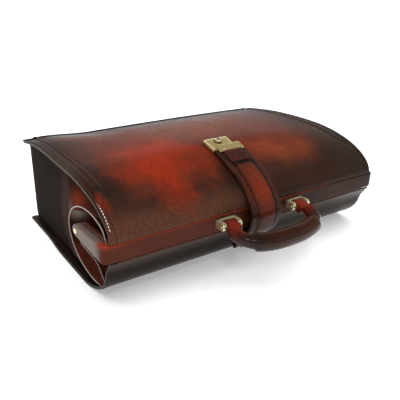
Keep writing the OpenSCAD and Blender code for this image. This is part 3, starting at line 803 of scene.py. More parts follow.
@once
def highlight_brass():
    """Pale brass on the borders of the lock and the hasp: a painted highlight where their bevels catch the
    light.
    """
    return brass("highlight_brass", 0.25, 0.4, 0.4, colour(252, 240, 190))


def grained(name, grain, colours, rough, relief, stretch=None, **constants):
    """A plain material: noise gives its colour, roughness and relief."""
    f = Finish(name, **constants)
    where = f.node("ShaderNodeMapping", None, {"Vector": f.here, "Scale": stretch}) if stretch else None
    pattern = f.noise(*grain, where=where)
    f.feed("Base Color", f.mix(pattern, *colours))
    f.feed("Roughness", rough[0] + pattern * rough[1])
    f.relief(pattern, *relief)
    return f.material


@once
def plain_steel():
    return grained("plain_steel", (420.0, 3.0, 0.6), (colour(120, 120, 124), colour(196, 196, 200)),
                   (0.24, 0.2), (0.1, 0.1), stretch=(0.1, 5.0, 1.0), Metallic=1.0)


@once
def warm_steel():
    """The key plug's steel, which has taken the brass's tone."""
    return grained("warm_steel", (900.0, 3.0, 0.6), (colour(150, 138, 104), colour(206, 194, 156)),
                   (0.34, 0.15), (0.1, 0.1), Metallic=0.8)


@once
def fibre_board():
    return grained("fibre_board", (500.0, 5.0, 0.7), (colour(104, 88, 68), colour(158, 140, 112)),
                   (0.75, 0.15), (0.3, 0.2))


@once
def wool_felt():
    return grained("wool_felt", (700.0, 5.0, 0.7), (colour(150, 142, 128), colour(204, 198, 186)),
                   (0.85, 0.1), (0.5, 0.4), Sheen_Weight=0.4)


@once
def woven_lining():
    f = Finish("woven_lining", Sheen_Weight=0.3)
    warp = f.node("ShaderNodeTexWave", {"bands_direction": "X"}, {"Vector": f.here, "Scale": 300.0})
    weft = f.node("ShaderNodeTexWave", {"bands_direction": "Y"}, {"Vector": f.here, "Scale": 300.0})
    weave = warp * weft
    tone = f.noise(40.0, 3.0)
    f.feed("Base Color", f.mix(weave * 0.6 + tone * 0.4, colour(96, 70, 48), colour(156, 124, 90)))
    f.feed("Roughness", 0.75 + weave * 0.15)
    f.relief(weave, 0.5, 0.25)
    return f.material


@once
def studio_floor():
    f = Finish("studio_floor", Emission_Color=(1, 1, 1, 1), Emission_Strength=0.3)
    f.feed("Base Color", f.mix(f.noise(3.0, 2.0), grey(0.86), grey(0.89)))
    f.feed("Roughness", 0.85 + f.noise(6.0) * 0.1)
    return f.material


# Settings

def tone(name, description, default):
    return FloatVectorProperty(name=name, description=description, size=4, subtype="COLOR", min=0, max=1,
                               default=default)


def amount(name, description, low, high, default):
    return FloatProperty(name=name, description=description, min=low, max=high, default=default)


class BriefcaseFinish(bpy.types.PropertyGroup):
    """Colours and surface of the leather, the thread and the brass."""
    warm: tone("Warm leather", "Colour where the burnishing glows", colour(138, 38, 10))
    russet: tone("Russet leather", "Colour of the middle of the front", colour(92, 36, 18))
    brown: tone("Brown leather", "Main colour of the leather", colour(76, 40, 26))
    dark: tone("Dark leather", "Colour of the leather near its edges", colour(31, 21, 17))
    thread: tone("Thread", "Colour of the waxed thread", colour(44, 29, 22))
    brass: tone("Brass", "Colour of the polished brass", (0.72, 0.55, 0.24, 1))
    wax: amount("Wax", "How much the leather shines", 0, 1, 0.3)
    grain: amount("Grain", "Depth of the leather's grain", 0, 3, 1.0)


class BriefcaseSeams(bpy.types.PropertyGroup):
    """Sizes of the stitching, in millimetres."""
    stitch: amount("Stitch", "Length of one stitch in millimetres", 1, 6, 3.0)
    pitch: amount("Pitch", "Distance between stitches in millimetres", 2, 8, 4.2)
    thick: amount("Thread", "Thickness of the thread in millimetres", 0.4, 1.6, 0.9)


class BriefcaseLight(bpy.types.PropertyGroup):
    """Strength of the studio light."""
    sky: amount("Surround", "Strength of the pale surround", 0, 4, 1.0)
    sun: amount("Softbox", "Strength of the main soft light", 0, 10, 4.3)


# Stage

class BRIEFCASE_OT_stage(bpy.types.Operator):
    """Sets up the camera, the pale floor and the soft studio light"""
    bl_idname = "briefcase.stage"
    bl_label = "Stage and camera"

    def execute(self, context):
        scene = context.scene
        light = scene.briefcase_light
        az, el, roll = radians(VIEW_TURN), radians(VIEW_HEIGHT), radians(VIEW_ROLL)
        back = Vector((sin(az) * cos(el), -cos(az) * cos(el), sin(el)))
        right = (-back).cross(Vector((0, 0, 1))).normalized()
        up = back.cross(right)
        level = right * cos(roll) + up * sin(roll)
        upright = up * cos(roll) - right * sin(roll)
        eye = at(*VIEW_AIM) + back * VIEW_DISTANCE
        data = bpy.data.cameras.new("camera")
        data.lens, data.sensor_width, data.clip_end = VIEW_LENS, 36.0, 100.0
        camera = bpy.data.objects.new("camera", data)
        camera.matrix_world = Matrix.Translation(eye) @ Matrix((level, upright, back)).transposed().to_4x4()
        scene.collection.objects.link(camera)
        scene.camera = camera

        fresh()
        bpy.ops.mesh.primitive_grid_add(x_subdivisions=8, y_subdivisions=8, size=40)
        floor = context.object
        floor.name = "floor"
        for v in floor.data.vertices:
            v.co.z = -0.0003
        floor.data.materials.append(studio_floor())

        world = bpy.data.worlds.new("studio")
        scene.world = world
        world.use_nodes = True
        nodes, links = world.node_tree.nodes, world.node_tree.links
        where = nodes.new("ShaderNodeTexCoord")
        split = nodes.new("ShaderNodeSeparateXYZ")
        ramp = nodes.new("ShaderNodeValToRGB")
        for place, value in ((0.12, 0.3), (0.22, 0.6), (0.41, 0.75), (0.5, 0.5), (0.62, 0.22), (0.76, 0.07)):
            ramp.color_ramp.elements.new(place).color = grey(value)
        ramp.color_ramp.elements[0].color = grey(0.25)
        ramp.color_ramp.elements[-1].color = grey(0.04)
        links.new(where.outputs["Generated"], split.inputs[0])
        links.new(split.outputs["Z"], ramp.inputs[0])
        links.new(ramp.outputs[0], nodes["Background"].inputs[0])
        nodes["Background"].inputs[1].default_value = light.sky

        def lamp(name, kind, strength, place, aim, **settings):
            data = bpy.data.lights.new(name, kind)
            data.energy = strength
            for key, value in settings.items():
                setattr(data, key, value)
            thing = bpy.data.objects.new(name, data)
            thing.location = place
            thing.rotation_euler = (Vector(aim) - Vector(place)).to_track_quat("-Z", "Y").to_euler()
            scene.collection.objects.link(thing)
            return thing

        softbox = lamp("softbox", "SUN", light.sun, (0.4, 0.6, 2.2), (0, 0, 0), angle=radians(90))
        softbox.visible_glossy = False
        lamp("front_box", "AREA", 4.0, (-0.7, -1.2, 1.5), (0, -0.1, 0.1), size=0.18)
        scene.view_settings.view_transform = "Standard"
        return {"FINISHED"}


# Leather of the case

def half_columns():
    """Shares across the front: fine beside the ridge, coarse in the middle."""
    inner = [i / 26 for i in range(26)]
    return inner + [1 + i / 12 for i in range(12)] + [2 + i / 7 for i in range(8)]


def front_x(share, y):
    side = -1 if share < 0 else 1
    s, line = abs(share), ridge_line(y)
    if s <= 1:
        x = s * (line - RIDGE_IN)
    elif s <= 2:
        x = line - RIDGE_IN + (s - 1) * (RIDGE_IN + RIDGE_OUT)
    else:
        x = line + RIDGE_OUT + (s - 2) * (HALF - line - RIDGE_OUT)
    return side * min(x, HALF)


class BRIEFCASE_OT_front(bpy.types.Operator):
    """Front panel with its ridge and crown, its edging, lining and collar"""
    bl_idname = "briefcase.front"
    bl_label = "Front panel"

    def execute(self, context):
        columns = half_columns()
        shares = [-s for s in reversed(columns[1:])] + columns
        line = section(front_line(0))
        rows = 84
        stops = [line.at((i / rows) ** 1.12) for i in range(rows + 1)]

        def lay(i, j):
            p = stops[j]
            x = front_x(shares[i], p.y)
            return x, p.y, p.z + front_z(x, p.y) - edge_z(p.y)

        panel = cut_sheet("front_leather", len(shares) - 1, rows, lay)
        thicken(panel, HIDE)
        for face in panel.data.polygons:
            if face.center.y > at(0, HEIGHT - 12, 0).y and face.normal.z > 0:
                face.material_index = 2
        dress(panel, "front_leather", front_hide(), cut_edge(), dark_border())
        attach(panel, "front_cover")
        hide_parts("front_panel")

        for name, side in (("left", -1), ("right", 1)):
            under = section(front_line(HIDE, 3, HEIGHT))
            strip = cut_sheet(f"front_edging_{name}", 6, 70, lambda i, j: (
                side * (WALL + 0.3 + (HALF - 0.4 - WALL - 0.3) * i / 6), under.at(j / 70).y,
                under.at(j / 70).z + corner_rise(side * HALF, under.at(j / 70).y)))
            edit(strip, outwards)
            thicken(strip, 2.1)
            dress(strip, "front_leather", back_hide(), cut_edge())
            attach(strip, "front_cover")
            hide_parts(f"front_welt_{name}")

        lining_line = section(front_line(HIDE + 0.3, 5, HEIGHT - 20))
        cloth = cut_sheet("front_cloth", 30, 60, lambda i, j: (
            -LINING + 2 * LINING * i / 30, lining_line.at(j / 60).y, lining_line.at(j / 60).z))
        thicken(cloth, 0.8, edge_finish=False)
        dress(cloth, "lining", woven_lining())
        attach(cloth, "front_cover")
        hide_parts("front_lining")

        low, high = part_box("front_collar")
        collar = block("mouth_collar", (low.x * 1000, low.y * 1000 + REST, low.z * 1000),
                       (high.x * 1000, high.y * 1000 + REST, high.z * 1000))
        round_edges(collar, 0.7)
        dress(collar, "front_leather", back_hide())
        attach(collar, "front_cover")
        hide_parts("front_collar")

        lift = 0.15

        def top_row(x_of, first, last):
            points = []
            for k in range(81):
                y = first + (last - first) * (k / 80) ** 1.5
                x = x_of(y)
                points.append((x, y, front_z(x, y) + lift))
            return Route(points), (0, -0.3, 1)

        seams = context.scene.briefcase_seams
        rows = [top_row(lambda y, s=s: s * (HALF - SEAM_IN), 5, HEIGHT - 2) for s in (-1, 1)]
        rows += [top_row(lambda y, s=s: s * (ridge_line(y) - 4.6), 16, HEIGHT - 8) for s in (-1, 1)]
        far = HEIGHT - 5
        rows.append((Route([(x, far, front_z(x, far) + lift) for x in range(-195, 196, 6)]), (0, 0, 1)))
        row = stitches("front_stitches", rows, seams.stitch, seams.pitch, seams.thick + 0.3, "front_leather")
        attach(row, "front_cover")
        return {"FINISHED"}


class BRIEFCASE_OT_back(bpy.types.Operator):
    """Back panel with its curl, its edging, lining and the bottom"""
    bl_idname = "briefcase.back"
    bl_label = "Back and bottom"

    def execute(self, context):
        outside = section(back_line(0) + [(2.5, 62)], soften=4, pitch=3.0)
        panel = cut_sheet("back_leather", 60, 110, lambda i, j: (
            bulge(-HALF + 2 * HALF * i / 60, outside.at(1 - j / 110).y), outside.at(1 - j / 110).y,
            max(0.0, outside.at(1 - j / 110).z)))
        edit(panel, outwards)
        look(panel, (0, 0, -1))
        thicken(panel, HIDE)
        dress(panel, "case_leather", back_hide(), cut_edge())
        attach(panel, "case")
        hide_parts("back_panel")

        for name, side in (("left", -1), ("right", 1)):
            inner = section([(HEIGHT, HIDE)] + [curl_point(a, HIDE) for a in range(0, 81, 4)],
                            soften=2, pitch=4.0)
            strip = cut_sheet(f"back_edging_{name}", 6, 80, lambda i, j: (
                bulge(side * (WALL + 0.1 + (HALF - 0.4 - WALL - 0.1) * i / 6), inner.at(j / 80).y),
                inner.at(j / 80).y, inner.at(j / 80).z))
            edit(strip, outwards)
            look(strip, (0, 0, -1))
            thicken(strip, 2.1)
            dress(strip, "case_leather", back_hide(), cut_edge())
            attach(strip, "case")
            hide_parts(f"back_welt_{name}")

        cloth_line = section([(288, HIDE + 0.4)] + [curl_point(a, HIDE + 0.4) for a in range(0, 81, 4)],
                             soften=1, pitch=4.0)
        cloth = cut_sheet("back_cloth", 30, 60, lambda i, j: (
            LINING - 2 * LINING * i / 30, cloth_line.at(j / 60).y, cloth_line.at(j / 60).z + 0.5))
        shape_with(cloth, "SOLIDIFY", thickness=0.0005, offset=0)
        dress(cloth, "lining", woven_lining())
        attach(cloth, "case")
        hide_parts("back_lining")

        def wall(i, j):
            x = BOTTOM_HALF - 2 * BOTTOM_HALF * i / 60
            top = LOW - 3.2 + front_z(x, HEIGHT) - edge_z(HEIGHT) - 1.1
            t = j / 24
            belly = 0.6 * sin(pi * t) * (1 - (x / 212) ** 4)
            return x, HEIGHT - 0.7 + belly, HIDE + (top - HIDE) * t

        bottom = cut_sheet("bottom_leather", 60, 24, wall)
        look(bottom, (0, 1, 0))
        thicken(bottom, 2.0)
        dress(bottom, "case_leather", back_hide(), cut_edge())
        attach(bottom, "case")
        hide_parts("bottom_panel")

        seams = context.scene.briefcase_seams
        spot = min((outside.at(k / 500) for k in range(501)), key=lambda p: abs(p.z - 50.5) + p.y * 0.02)
        strip_line = [(x, spot.y - 0.15, spot.z) for x in range(-206, 207, 6)]
        rows = [(Route(strip_line), (0, -1, 0.3))]
        for s in (-1, 1):
            rows.append((Route([(s * (HALF - SEAM_IN), *curl_point(a, -0.12)) for a in range(4, 84, 4)]),
                         (0, -1, -0.6)))
            rows.append((Route([(s * 205, HEIGHT + 0.1, z) for z in range(10, 120, 5)]), (0, 1, 0)))
        for z in (8, 118):
            rows.append((Route([(x, HEIGHT + 0.05, z) for x in range(-198, 199, 6)]), (0, 1, 0)))
        row = stitches("back_stitches", rows, seams.stitch, seams.pitch, seams.thick, "case_leather")
        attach(row, "case")
        return {"FINISHED"}


class BRIEFCASE_OT_sides(bpy.types.Operator):
    """Side walls that swell round their eyes, the folds inside the eyes and the rims, painted pale as a
    highlight
    """
    bl_idname = "briefcase.sides"
    bl_label = "Side walls"

    def execute(self, context):
        eye = Vector((0, EYE_Y, EYE_Z))
        outline = front_line(HIDE + 0.1, 3.0, HEIGHT - 0.8, 40)
        outline += [(HEIGHT - 0.8, z) for z in range(118, 4, -6)]
        outline += [(y, HIDE + 0.2) for y in range(290, 76, -8)]
        outline += [curl_point(a, HIDE + 0.2) for a in range(0, 73, 4)]
        rays = []
        for y, z in outline:
            a = atan2((z - EYE_Z) / EYE_H, (y - EYE_Y) / EYE_L)
            rays.append((a, Vector((0, y, z))))
        rims = [Vector((0, EYE_Y + EYE_L * cos(a), EYE_Z + EYE_H * sin(a))) for a, _ in rays]
        depth = 26

        def wall_point(i, j):
            rim, edge = rims[i], rays[i][1]
            share = (j / depth) ** 1.5
            if (edge - rim).length < 0.5 or (rim - eye).length > (edge - eye).length:
                rim = edge
            p = rim.lerp(edge, share)
            reach = (edge - rim).length
            gone = (p - rim).length
            swell = EYE_SWELL * (1 - smooth(gone / max(4.0, min(reach * 0.96, 62.0))))
            fade = smooth((edge - p).length / 9)
            pillow = 2.2 * fade * smooth(gone / 40)
            crease = 0.9 * hump((p.z - 60) - (p.y - 190) * -0.3, 3.5)
            crease *= smooth((p.y - 118) / 20) * smooth((250 - p.y) / 60)
            return swell * min(1.0, reach / 8) + pillow - crease, p.y, p.z

        def clear(p):
            """Inside the roll below the frame, and inside the inner frame's swing above it."""
            if p.z > 60:
                return hypot(p.y - PIVOT_Y, p.z - FRAME_Z) <= 58.2
            return hypot(max(0.0, CURL_Y - p.y) / (CURL_L - 3.5),
                         max(0.0, CURL_H - p.z) / (CURL_H - 3.5)) <= 1

        def fold_edge(a):
            """Where the fold ends at an angle: on the eye's rim, or nearer where that isn't clear."""
            out = Vector((0, EYE_L * cos(a), EYE_H * sin(a)))
            if clear(eye + out):
                return eye + out, True
            near, far = 0.0, 1.0
            for _ in range(24):
                middle = (near + far) / 2
                if clear(eye + out * middle):
                    near = middle
                else:
                    far = middle
            return eye + out * near, False

        turns = 96
        rings = 22
        edges = [fold_edge(2 * pi * k / turns) for k in range(turns)]
        heart = Vector((0, 68, 71))

        def shelf(y):
            return 10 * smooth((y - 18) / 10) * smooth((116 - y) / 16)

        lobe = [(26, 23.5), (29, 28.5), (35, 36), (42, 42), (50, 45), (60, 46), (78, 46.5), (96, 48),
                (111, 51)]

        def shelf_z(y):
            for (y0, z0), (y1, z1) in zip(lobe, lobe[1:]):
                if y <= y1:
                    return z0 + (z1 - z0) * max(0.0, y - y0) / (y1 - y0)
            return 51

        def fold_point(i, j):
            edge, on_rim = edges[i % turns]
            p = edge.lerp(heart, j / rings)
            gone = (p - edge).length
            upper = smooth((p.z - 66) / 16)
            below = smooth((shelf_z(p.y) + 3.5 - p.z) / 3.5)
            hollow = 2.2 * hump(p.z - shelf_z(p.y) + 11, 7)
            floor = -3.5 - 10.0 * upper + (shelf(p.y) - hollow) * below
            if on_rim:
                drop = EYE_SWELL + (floor - EYE_SWELL) * smooth(gone / (7 + 9 * upper))
            else:
                drop = min(0.5, floor + 3 * (1 - smooth(gone / 12)))
            return drop, p.y, p.z

        for name, side in (("left", -1), ("right", 1)):
            def outer(p):
                rise = corner_rise(side * HALF, p[1]) * smooth((p[2] - 60) / 60)
                return side * (WALL + p[0]), p[1], p[2] + rise

            wall = cut_sheet(f"side_{name}", len(rays) - 1, depth, lambda i, j: outer(wall_point(i, j)))
            edit(wall, merge)
            look(wall, (side, 0, 0))
            shape_with(wall, "SOLIDIFY", thickness=0.002, offset=-1)
            dress(wall, "side_leather", side_hide(), cut_edge(), smooth_angle=60)
            fold = cut_sheet(f"side_fold_{name}", turns, rings, lambda i, j: outer(fold_point(i, j)))
            edit(fold, merge)
            look(fold, (side, 0, 0))
            shape_with(fold, "SOLIDIFY", thickness=0.0016, offset=-1)
            dress(fold, "side_leather", side_hide(), cut_edge(), smooth_angle=60)
            first = next(k for k in range(turns) if edges[k][1] and not edges[k - 1][1])
            arc = [edges[(first + k) % turns][0] for k in range(turns) if edges[(first + k) % turns][1]]
            points = [outer((EYE_SWELL + 0.1, p.y, p.z)) for p in arc if p.y > 27 or p.z < 70]
            along_edge = [q for q in front_line(HIDE + 2.6, 4, 33) if q[0] < 14]
            points += [outer((EYE_SWELL - 1.0, *q)) for q in reversed(along_edge)]
            line = Route(points, soften=10, pitch=3.0)
            bead = ring(8)

            def station(line, share, size):
                centre, along = line.at(share), line.heading(share)
                out = Vector((side, 0, 0))
                across = along.cross(out).normalized()
                size = size * min(1.0, 0.25 + 12 * min(share, 1 - share))
                return lambda a, b: centre + (out * a + across * b) * size

            crest = Route([outer((shelf(y) - 2.6, y, z + 0.6)) for y, z in lobe], soften=2, pitch=3.0)
            # Both beads take the pale rim finish, a painted highlight along the eye's rim and the lobe's
            # crest.
            beads = [drawn("rim", [station(line, k / 90, 0.75) for k in range(91)], bead),
                     drawn("crest", [station(crest, k / 50, 0.6) for k in range(51)], bead)]
            rim = join(beads, f"eye_rim_{name}")
            dress(rim, "side_leather", rim_highlight(), smooth_angle=80)
            for piece in (wall, fold, rim):
                at(0, 150, 42)
                at(0, 150, 98)
                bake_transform(piece)
            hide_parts(f"gusset_{name}")
            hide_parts(f"gusset_fold_{name}")
        return {"FINISHED"}


# Frame

def band_stations(half, y0, height, thick, corner, end_r):
    """Stations of a band that runs round the mouth from one pivot to the other."""
    plan = []
    arm_steps, tip_steps = 14, 8
    tips = [PIVOT_Y + end_r * sin(pi / 2 * k / tip_steps) for k in range(tip_steps, 0, -1)]
    arms = [y0 + corner + (PIVOT_Y - y0 - corner) * k / arm_steps for k in range(arm_steps, -1, -1)]
    for y in tips + arms:
        plan.append(((-half, y), (-half + thick, max(y, y0 + thick))))
    for k in range(1, 8):
        a = pi / 2 * k / 8
        plan.append(((-half + corner * (1 - cos(a)), y0 + corner * (1 - sin(a))),
                     (-half + thick, y0 + thick)))
    for k in range(61):
        x = -half + corner + (2 * half - 2 * corner) * k / 60
        plan.append(((x, y0), (min(max(x, -half + thick), half - thick), y0 + thick)))
    plan += [((-a[0], a[1]), (-b[0], b[1])) for a, b in reversed(plan[:len(tips + arms) + 7])]

    def station(outer, inner):
        y = outer[1]
        if y > PIVOT_Y:
            tall = 2 * sqrt(max(0.04, end_r ** 2 - (y - PIVOT_Y) ** 2))
        else:
            tall = height + (2 * end_r - height) * (y - y0) / (PIVOT_Y - y0)
        squeeze = tall / height

        def place(s, z):
            t = s / thick + 0.5
            return (outer[0] + (inner[0] - outer[0]) * t, outer[1] + (inner[1] - outer[1]) * t,
                    FRAME_Z + z * squeeze)
        return place
    return [station(a, b) for a, b in plan]


class BRIEFCASE_OT_frame(bpy.types.Operator):
    """Both leather-covered halves of the mouth's frame, the piping and the pivots"""
    bl_idname = "briefcase.frame"
    bl_label = "Frame"

    def execute(self, context):
        outer = drawn("outer_band", band_stations(FRAME_HALF, 0, BAND_H, BAND_T, 8, 8.5),
                      rounded(BAND_T, BAND_H, 2.6, 5, 3))
        dress(outer, "frame_leather", frame_hide(), smooth_angle=50)
        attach(outer, "case")
        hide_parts("outer_frame_cover")

        inner = drawn("inner_band", band_stations(INNER_HALF, INNER_Y, INNER_H, INNER_T, 4, 8.1),
                      rounded(INNER_T, INNER_H, 1.9, 4, 3))
        dress(inner, "frame_leather", frame_hide(), smooth_angle=50)
        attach(inner, "inner_frame")
        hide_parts("inner_frame_cover")

        stations = [lambda y, z, k=k: (-PIPING_HALF + 2 * PIPING_HALF * k / 60, PIPING_Y + y, PIPING_Z + z)
                    for k in range(61)]
        piping = drawn("piping", stations, rounded(7.4, 2.9, 1.4, 4, 2))
        dress(piping, "frame_leather", frame_hide())
        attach(piping, "case")
        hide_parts("frame_piping")

        for name, side in (("left", -1), ("right", 1)):
            head = turned(f"pivot_{name}", [
                (0.01, -21.3), (3.2, -21.3), (3.2, -20.5), (2.5, -20.4), (2.5, -0.2), (3.6, 0.0), (3.6, 0.35),
                (3.3, 0.9), (2.6, 1.2), (1.5, 1.2), (1.15, 1.05), (0.9, 0.5), (0.01, 0.35)],
                (side * FRAME_HALF, PIVOT_Y, FRAME_Z), (side, 0, 0))
            dress(head, "brass", polished_brass(), smooth_angle=35)
            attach(head, "case")
            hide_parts(f"rivet_{name}")
        return {"FINISHED"}


# Handle

class BRIEFCASE_OT_handle(bpy.types.Operator):
    """Padded handle with its leather end tabs, and the brass brackets that hold it"""
    bl_idname = "briefcase.handle"
    bl_label = "Handle"

    def execute(self, context):
        pin = at(0, -PIN_Y, PIN_Z)
        hang = Matrix.Translation(pin) @ Matrix.Rotation(radians(DROOP), 4, "X") @ Matrix.Translation(-pin)

        def arch(a):
            c, s = cos(a), max(0.0, sin(a))
            side = -1 if c > 0 else 1
            square = 2 / 2.6
            return Vector((side * ARCH_HALF * abs(c) ** square, -TAB_END - 0.1 - ARCH * s ** square, PIN_Z))

        path = Route([arch(pi * k / 160) for k in range(161)], soften=6, pitch=2.0)

        def girth(x):
            """Radius of the handle: its arms, the bead where the grip begins, and the padded grip."""
            arm, bead, padding, belly = 9.2, 0.6, 3.2, 0.5
            out = abs(x)
            return (arm + bead * hump(out - 52, 1.4) + padding * smooth((51.5 - out) / 3.5)
                    + belly * smooth((40 - out) / 30))

        def station(share):
            centre, along = path.at(share), path.heading(share)
            if share in (0, 1):
                along = Vector((0, -1 if share == 0 else 1, 0))
            across = along.cross(Vector((0, 0, 1))).normalized()
            size = girth(centre.x)
            return lambda a, b: centre + size * (a * across + b * 0.97 * Vector((0, 0, 1)))

        grip = drawn("grip", [station(k / 120) for k in range(121)], ring(32))
        round_edges(grip, 1.2, 60)
        grip.data.transform(hang)
        dress(grip, "handle_leather", handle_hide(), cut_edge(), smooth_angle=60)
        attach(grip, "handle")
        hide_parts("handle_grip")

        def inner_seam(first, last, drop):
            points = []
            for k in range(60):
                share = first + (last - first) * k / 59
                centre, along = path.at(share), path.heading(share)
                across = along.cross(Vector((0, 0, 1))).normalized()
                size = girth(centre.x) + 0.1
                points.append(centre - across * size * cos(drop) + Vector((0, 0, -size * 0.97 * sin(drop))))
            return points

        rows = [(Route(inner_seam(0.2, 0.8, 0.5)), (0, 1, -0.5))]

        for name, side in (("left", -1), ("right", 1)):
            centre = side * PITCH / 2
            outline = [(-PIN_Y + 7 * cos(radians(a)), PIN_Z + 7 * sin(radians(a))) for a in range(-52, 53, 8)]
            outline += [(-18, PIN_Z + TAB_T / 2 + 0.1), (-TAB_END, PIN_Z + TAB_T / 2)]
            outline += [(-TAB_END, PIN_Z - TAB_T / 2), (-18, PIN_Z - TAB_T / 2 - 0.1)]
            tab = outline_block(f"end_tab_{name}", outline, centre - TAB_W / 2, centre + TAB_W / 2)
            round_edges(tab, 1.6, 30, 3)
            tab.data.transform(hang)
            dress(tab, "handle_leather", handle_hide(), cut_edge(), smooth_angle=50)
            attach(tab, "handle")
            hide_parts(f"handle_tab_{name}")

            out, half = LUG_X + LUG_T, PLATE_H / 2
            parts = [block("plate", (centre - out, -PLATE_T, PIN_Z - half), (centre + out, 0, PIN_Z + half)),
                     block("bar", (centre - LUG_X - 0.5, -5.5, PIN_Z + half - 2),
                           (centre + LUG_X + 0.5, -PLATE_T + 0.1, PIN_Z + half))]
            for x in (centre - out, centre + LUG_X):
                ear = [(-PIN_Y + LUG_R * cos(radians(a)), PIN_Z + LUG_R * sin(radians(a)))
                       for a in range(90, 271, 12)]
                ear += [(-PLATE_T + 0.1, PIN_Z - LUG_R), (-PLATE_T + 0.1, PIN_Z + LUG_R)]
                parts.append(outline_block("ear", ear, x, x + LUG_T))
            for part in parts:
                round_edges(part, 0.7, 40, 3)
            bracket = join(parts, f"bracket_{name}")
            dress(bracket, "brass", bracket_brass(), smooth_angle=35)
            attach(bracket, "case")
            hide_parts(f"handle_bracket_{name}")

            span = out + 0.4
            rod = turned(f"pin_{name}", [(0.01, -span), (1.5, -span), (2, -span + 0.4), (2, span - 0.4),
                                         (1.5, span), (0.01, span)], (centre, -PIN_Y, PIN_Z), (1, 0, 0), 24)
            dress(rod, "brass", polished_brass())
            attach(rod, "case")
            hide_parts(f"handle_pin_{name}")

        profile = [(0.01, -6), (1.3, -6), (1.3, 1.5), (2.3, 1.5), (2.2, 2.1), (1.5, 2.4), (0.01, 2.5)]
        heads = [turned("screw", profile, (s * PITCH / 2 + e, 0, PIN_Z - 3.2), (0, -1, 0), 20)
                 for s in (-1, 1) for e in (-6, 6)]
        screws = join(heads, "bracket_screw_heads")
        dress(screws, "brass", polished_brass())
        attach(screws, "case")
        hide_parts("bracket_screws")

        row = stitches("handle_stitches", rows, *FINE_THREAD, "handle_leather")
        row.data.transform(hang)
        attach(row, "handle")
        return {"FINISHED"}


# Strap

def strap_route():
    """Underside of the strap, from the back round the mouth to the lock."""
    points = []
    for a in (56, 64, 72, 80):
        y, z = curl_point(a, 0)
        n = Vector((0, sin(radians(a)) / CURL_L, cos(radians(a)) / CURL_H)).normalized()
        points.append((0, y - 0.1 * n.y, z - 0.1 * n.z))
    for a in range(-50, 29, 6):
        points.append((0, BOW_Y - BOW_R * cos(radians(a)), BOW_Z + BOW_R * sin(radians(a))))
    a = radians(FOLD)
    start = Vector((0, BOW_Y - BOW_R * cos(a), BOW_Z + BOW_R * sin(a)))
    out = Vector((0, sin(a), cos(a)))
    lean = middle_slope(FLAP_START)
    goal = Vector((0, *over_panel(FLAP_START, FLAP_GAP)))
    back = Vector((0, cos(lean), sin(lean)))
    gap = goal - start
    reach = (gap.y * back.z - gap.z * back.y) / (out.y * back.z - out.z * back.y)
    corner = start + out * reach
    points += [start * (1 - t) ** 2 + corner * 2 * t * (1 - t) + goal * t * t
               for t in [k / 10 for k in range(10)]]
    points += [(0, *over_panel(FLAP_START + (FLAP_END - FLAP_START) * k / 24, FLAP_GAP)) for k in range(25)]
    return Route(points, soften=3, pitch=2.0)


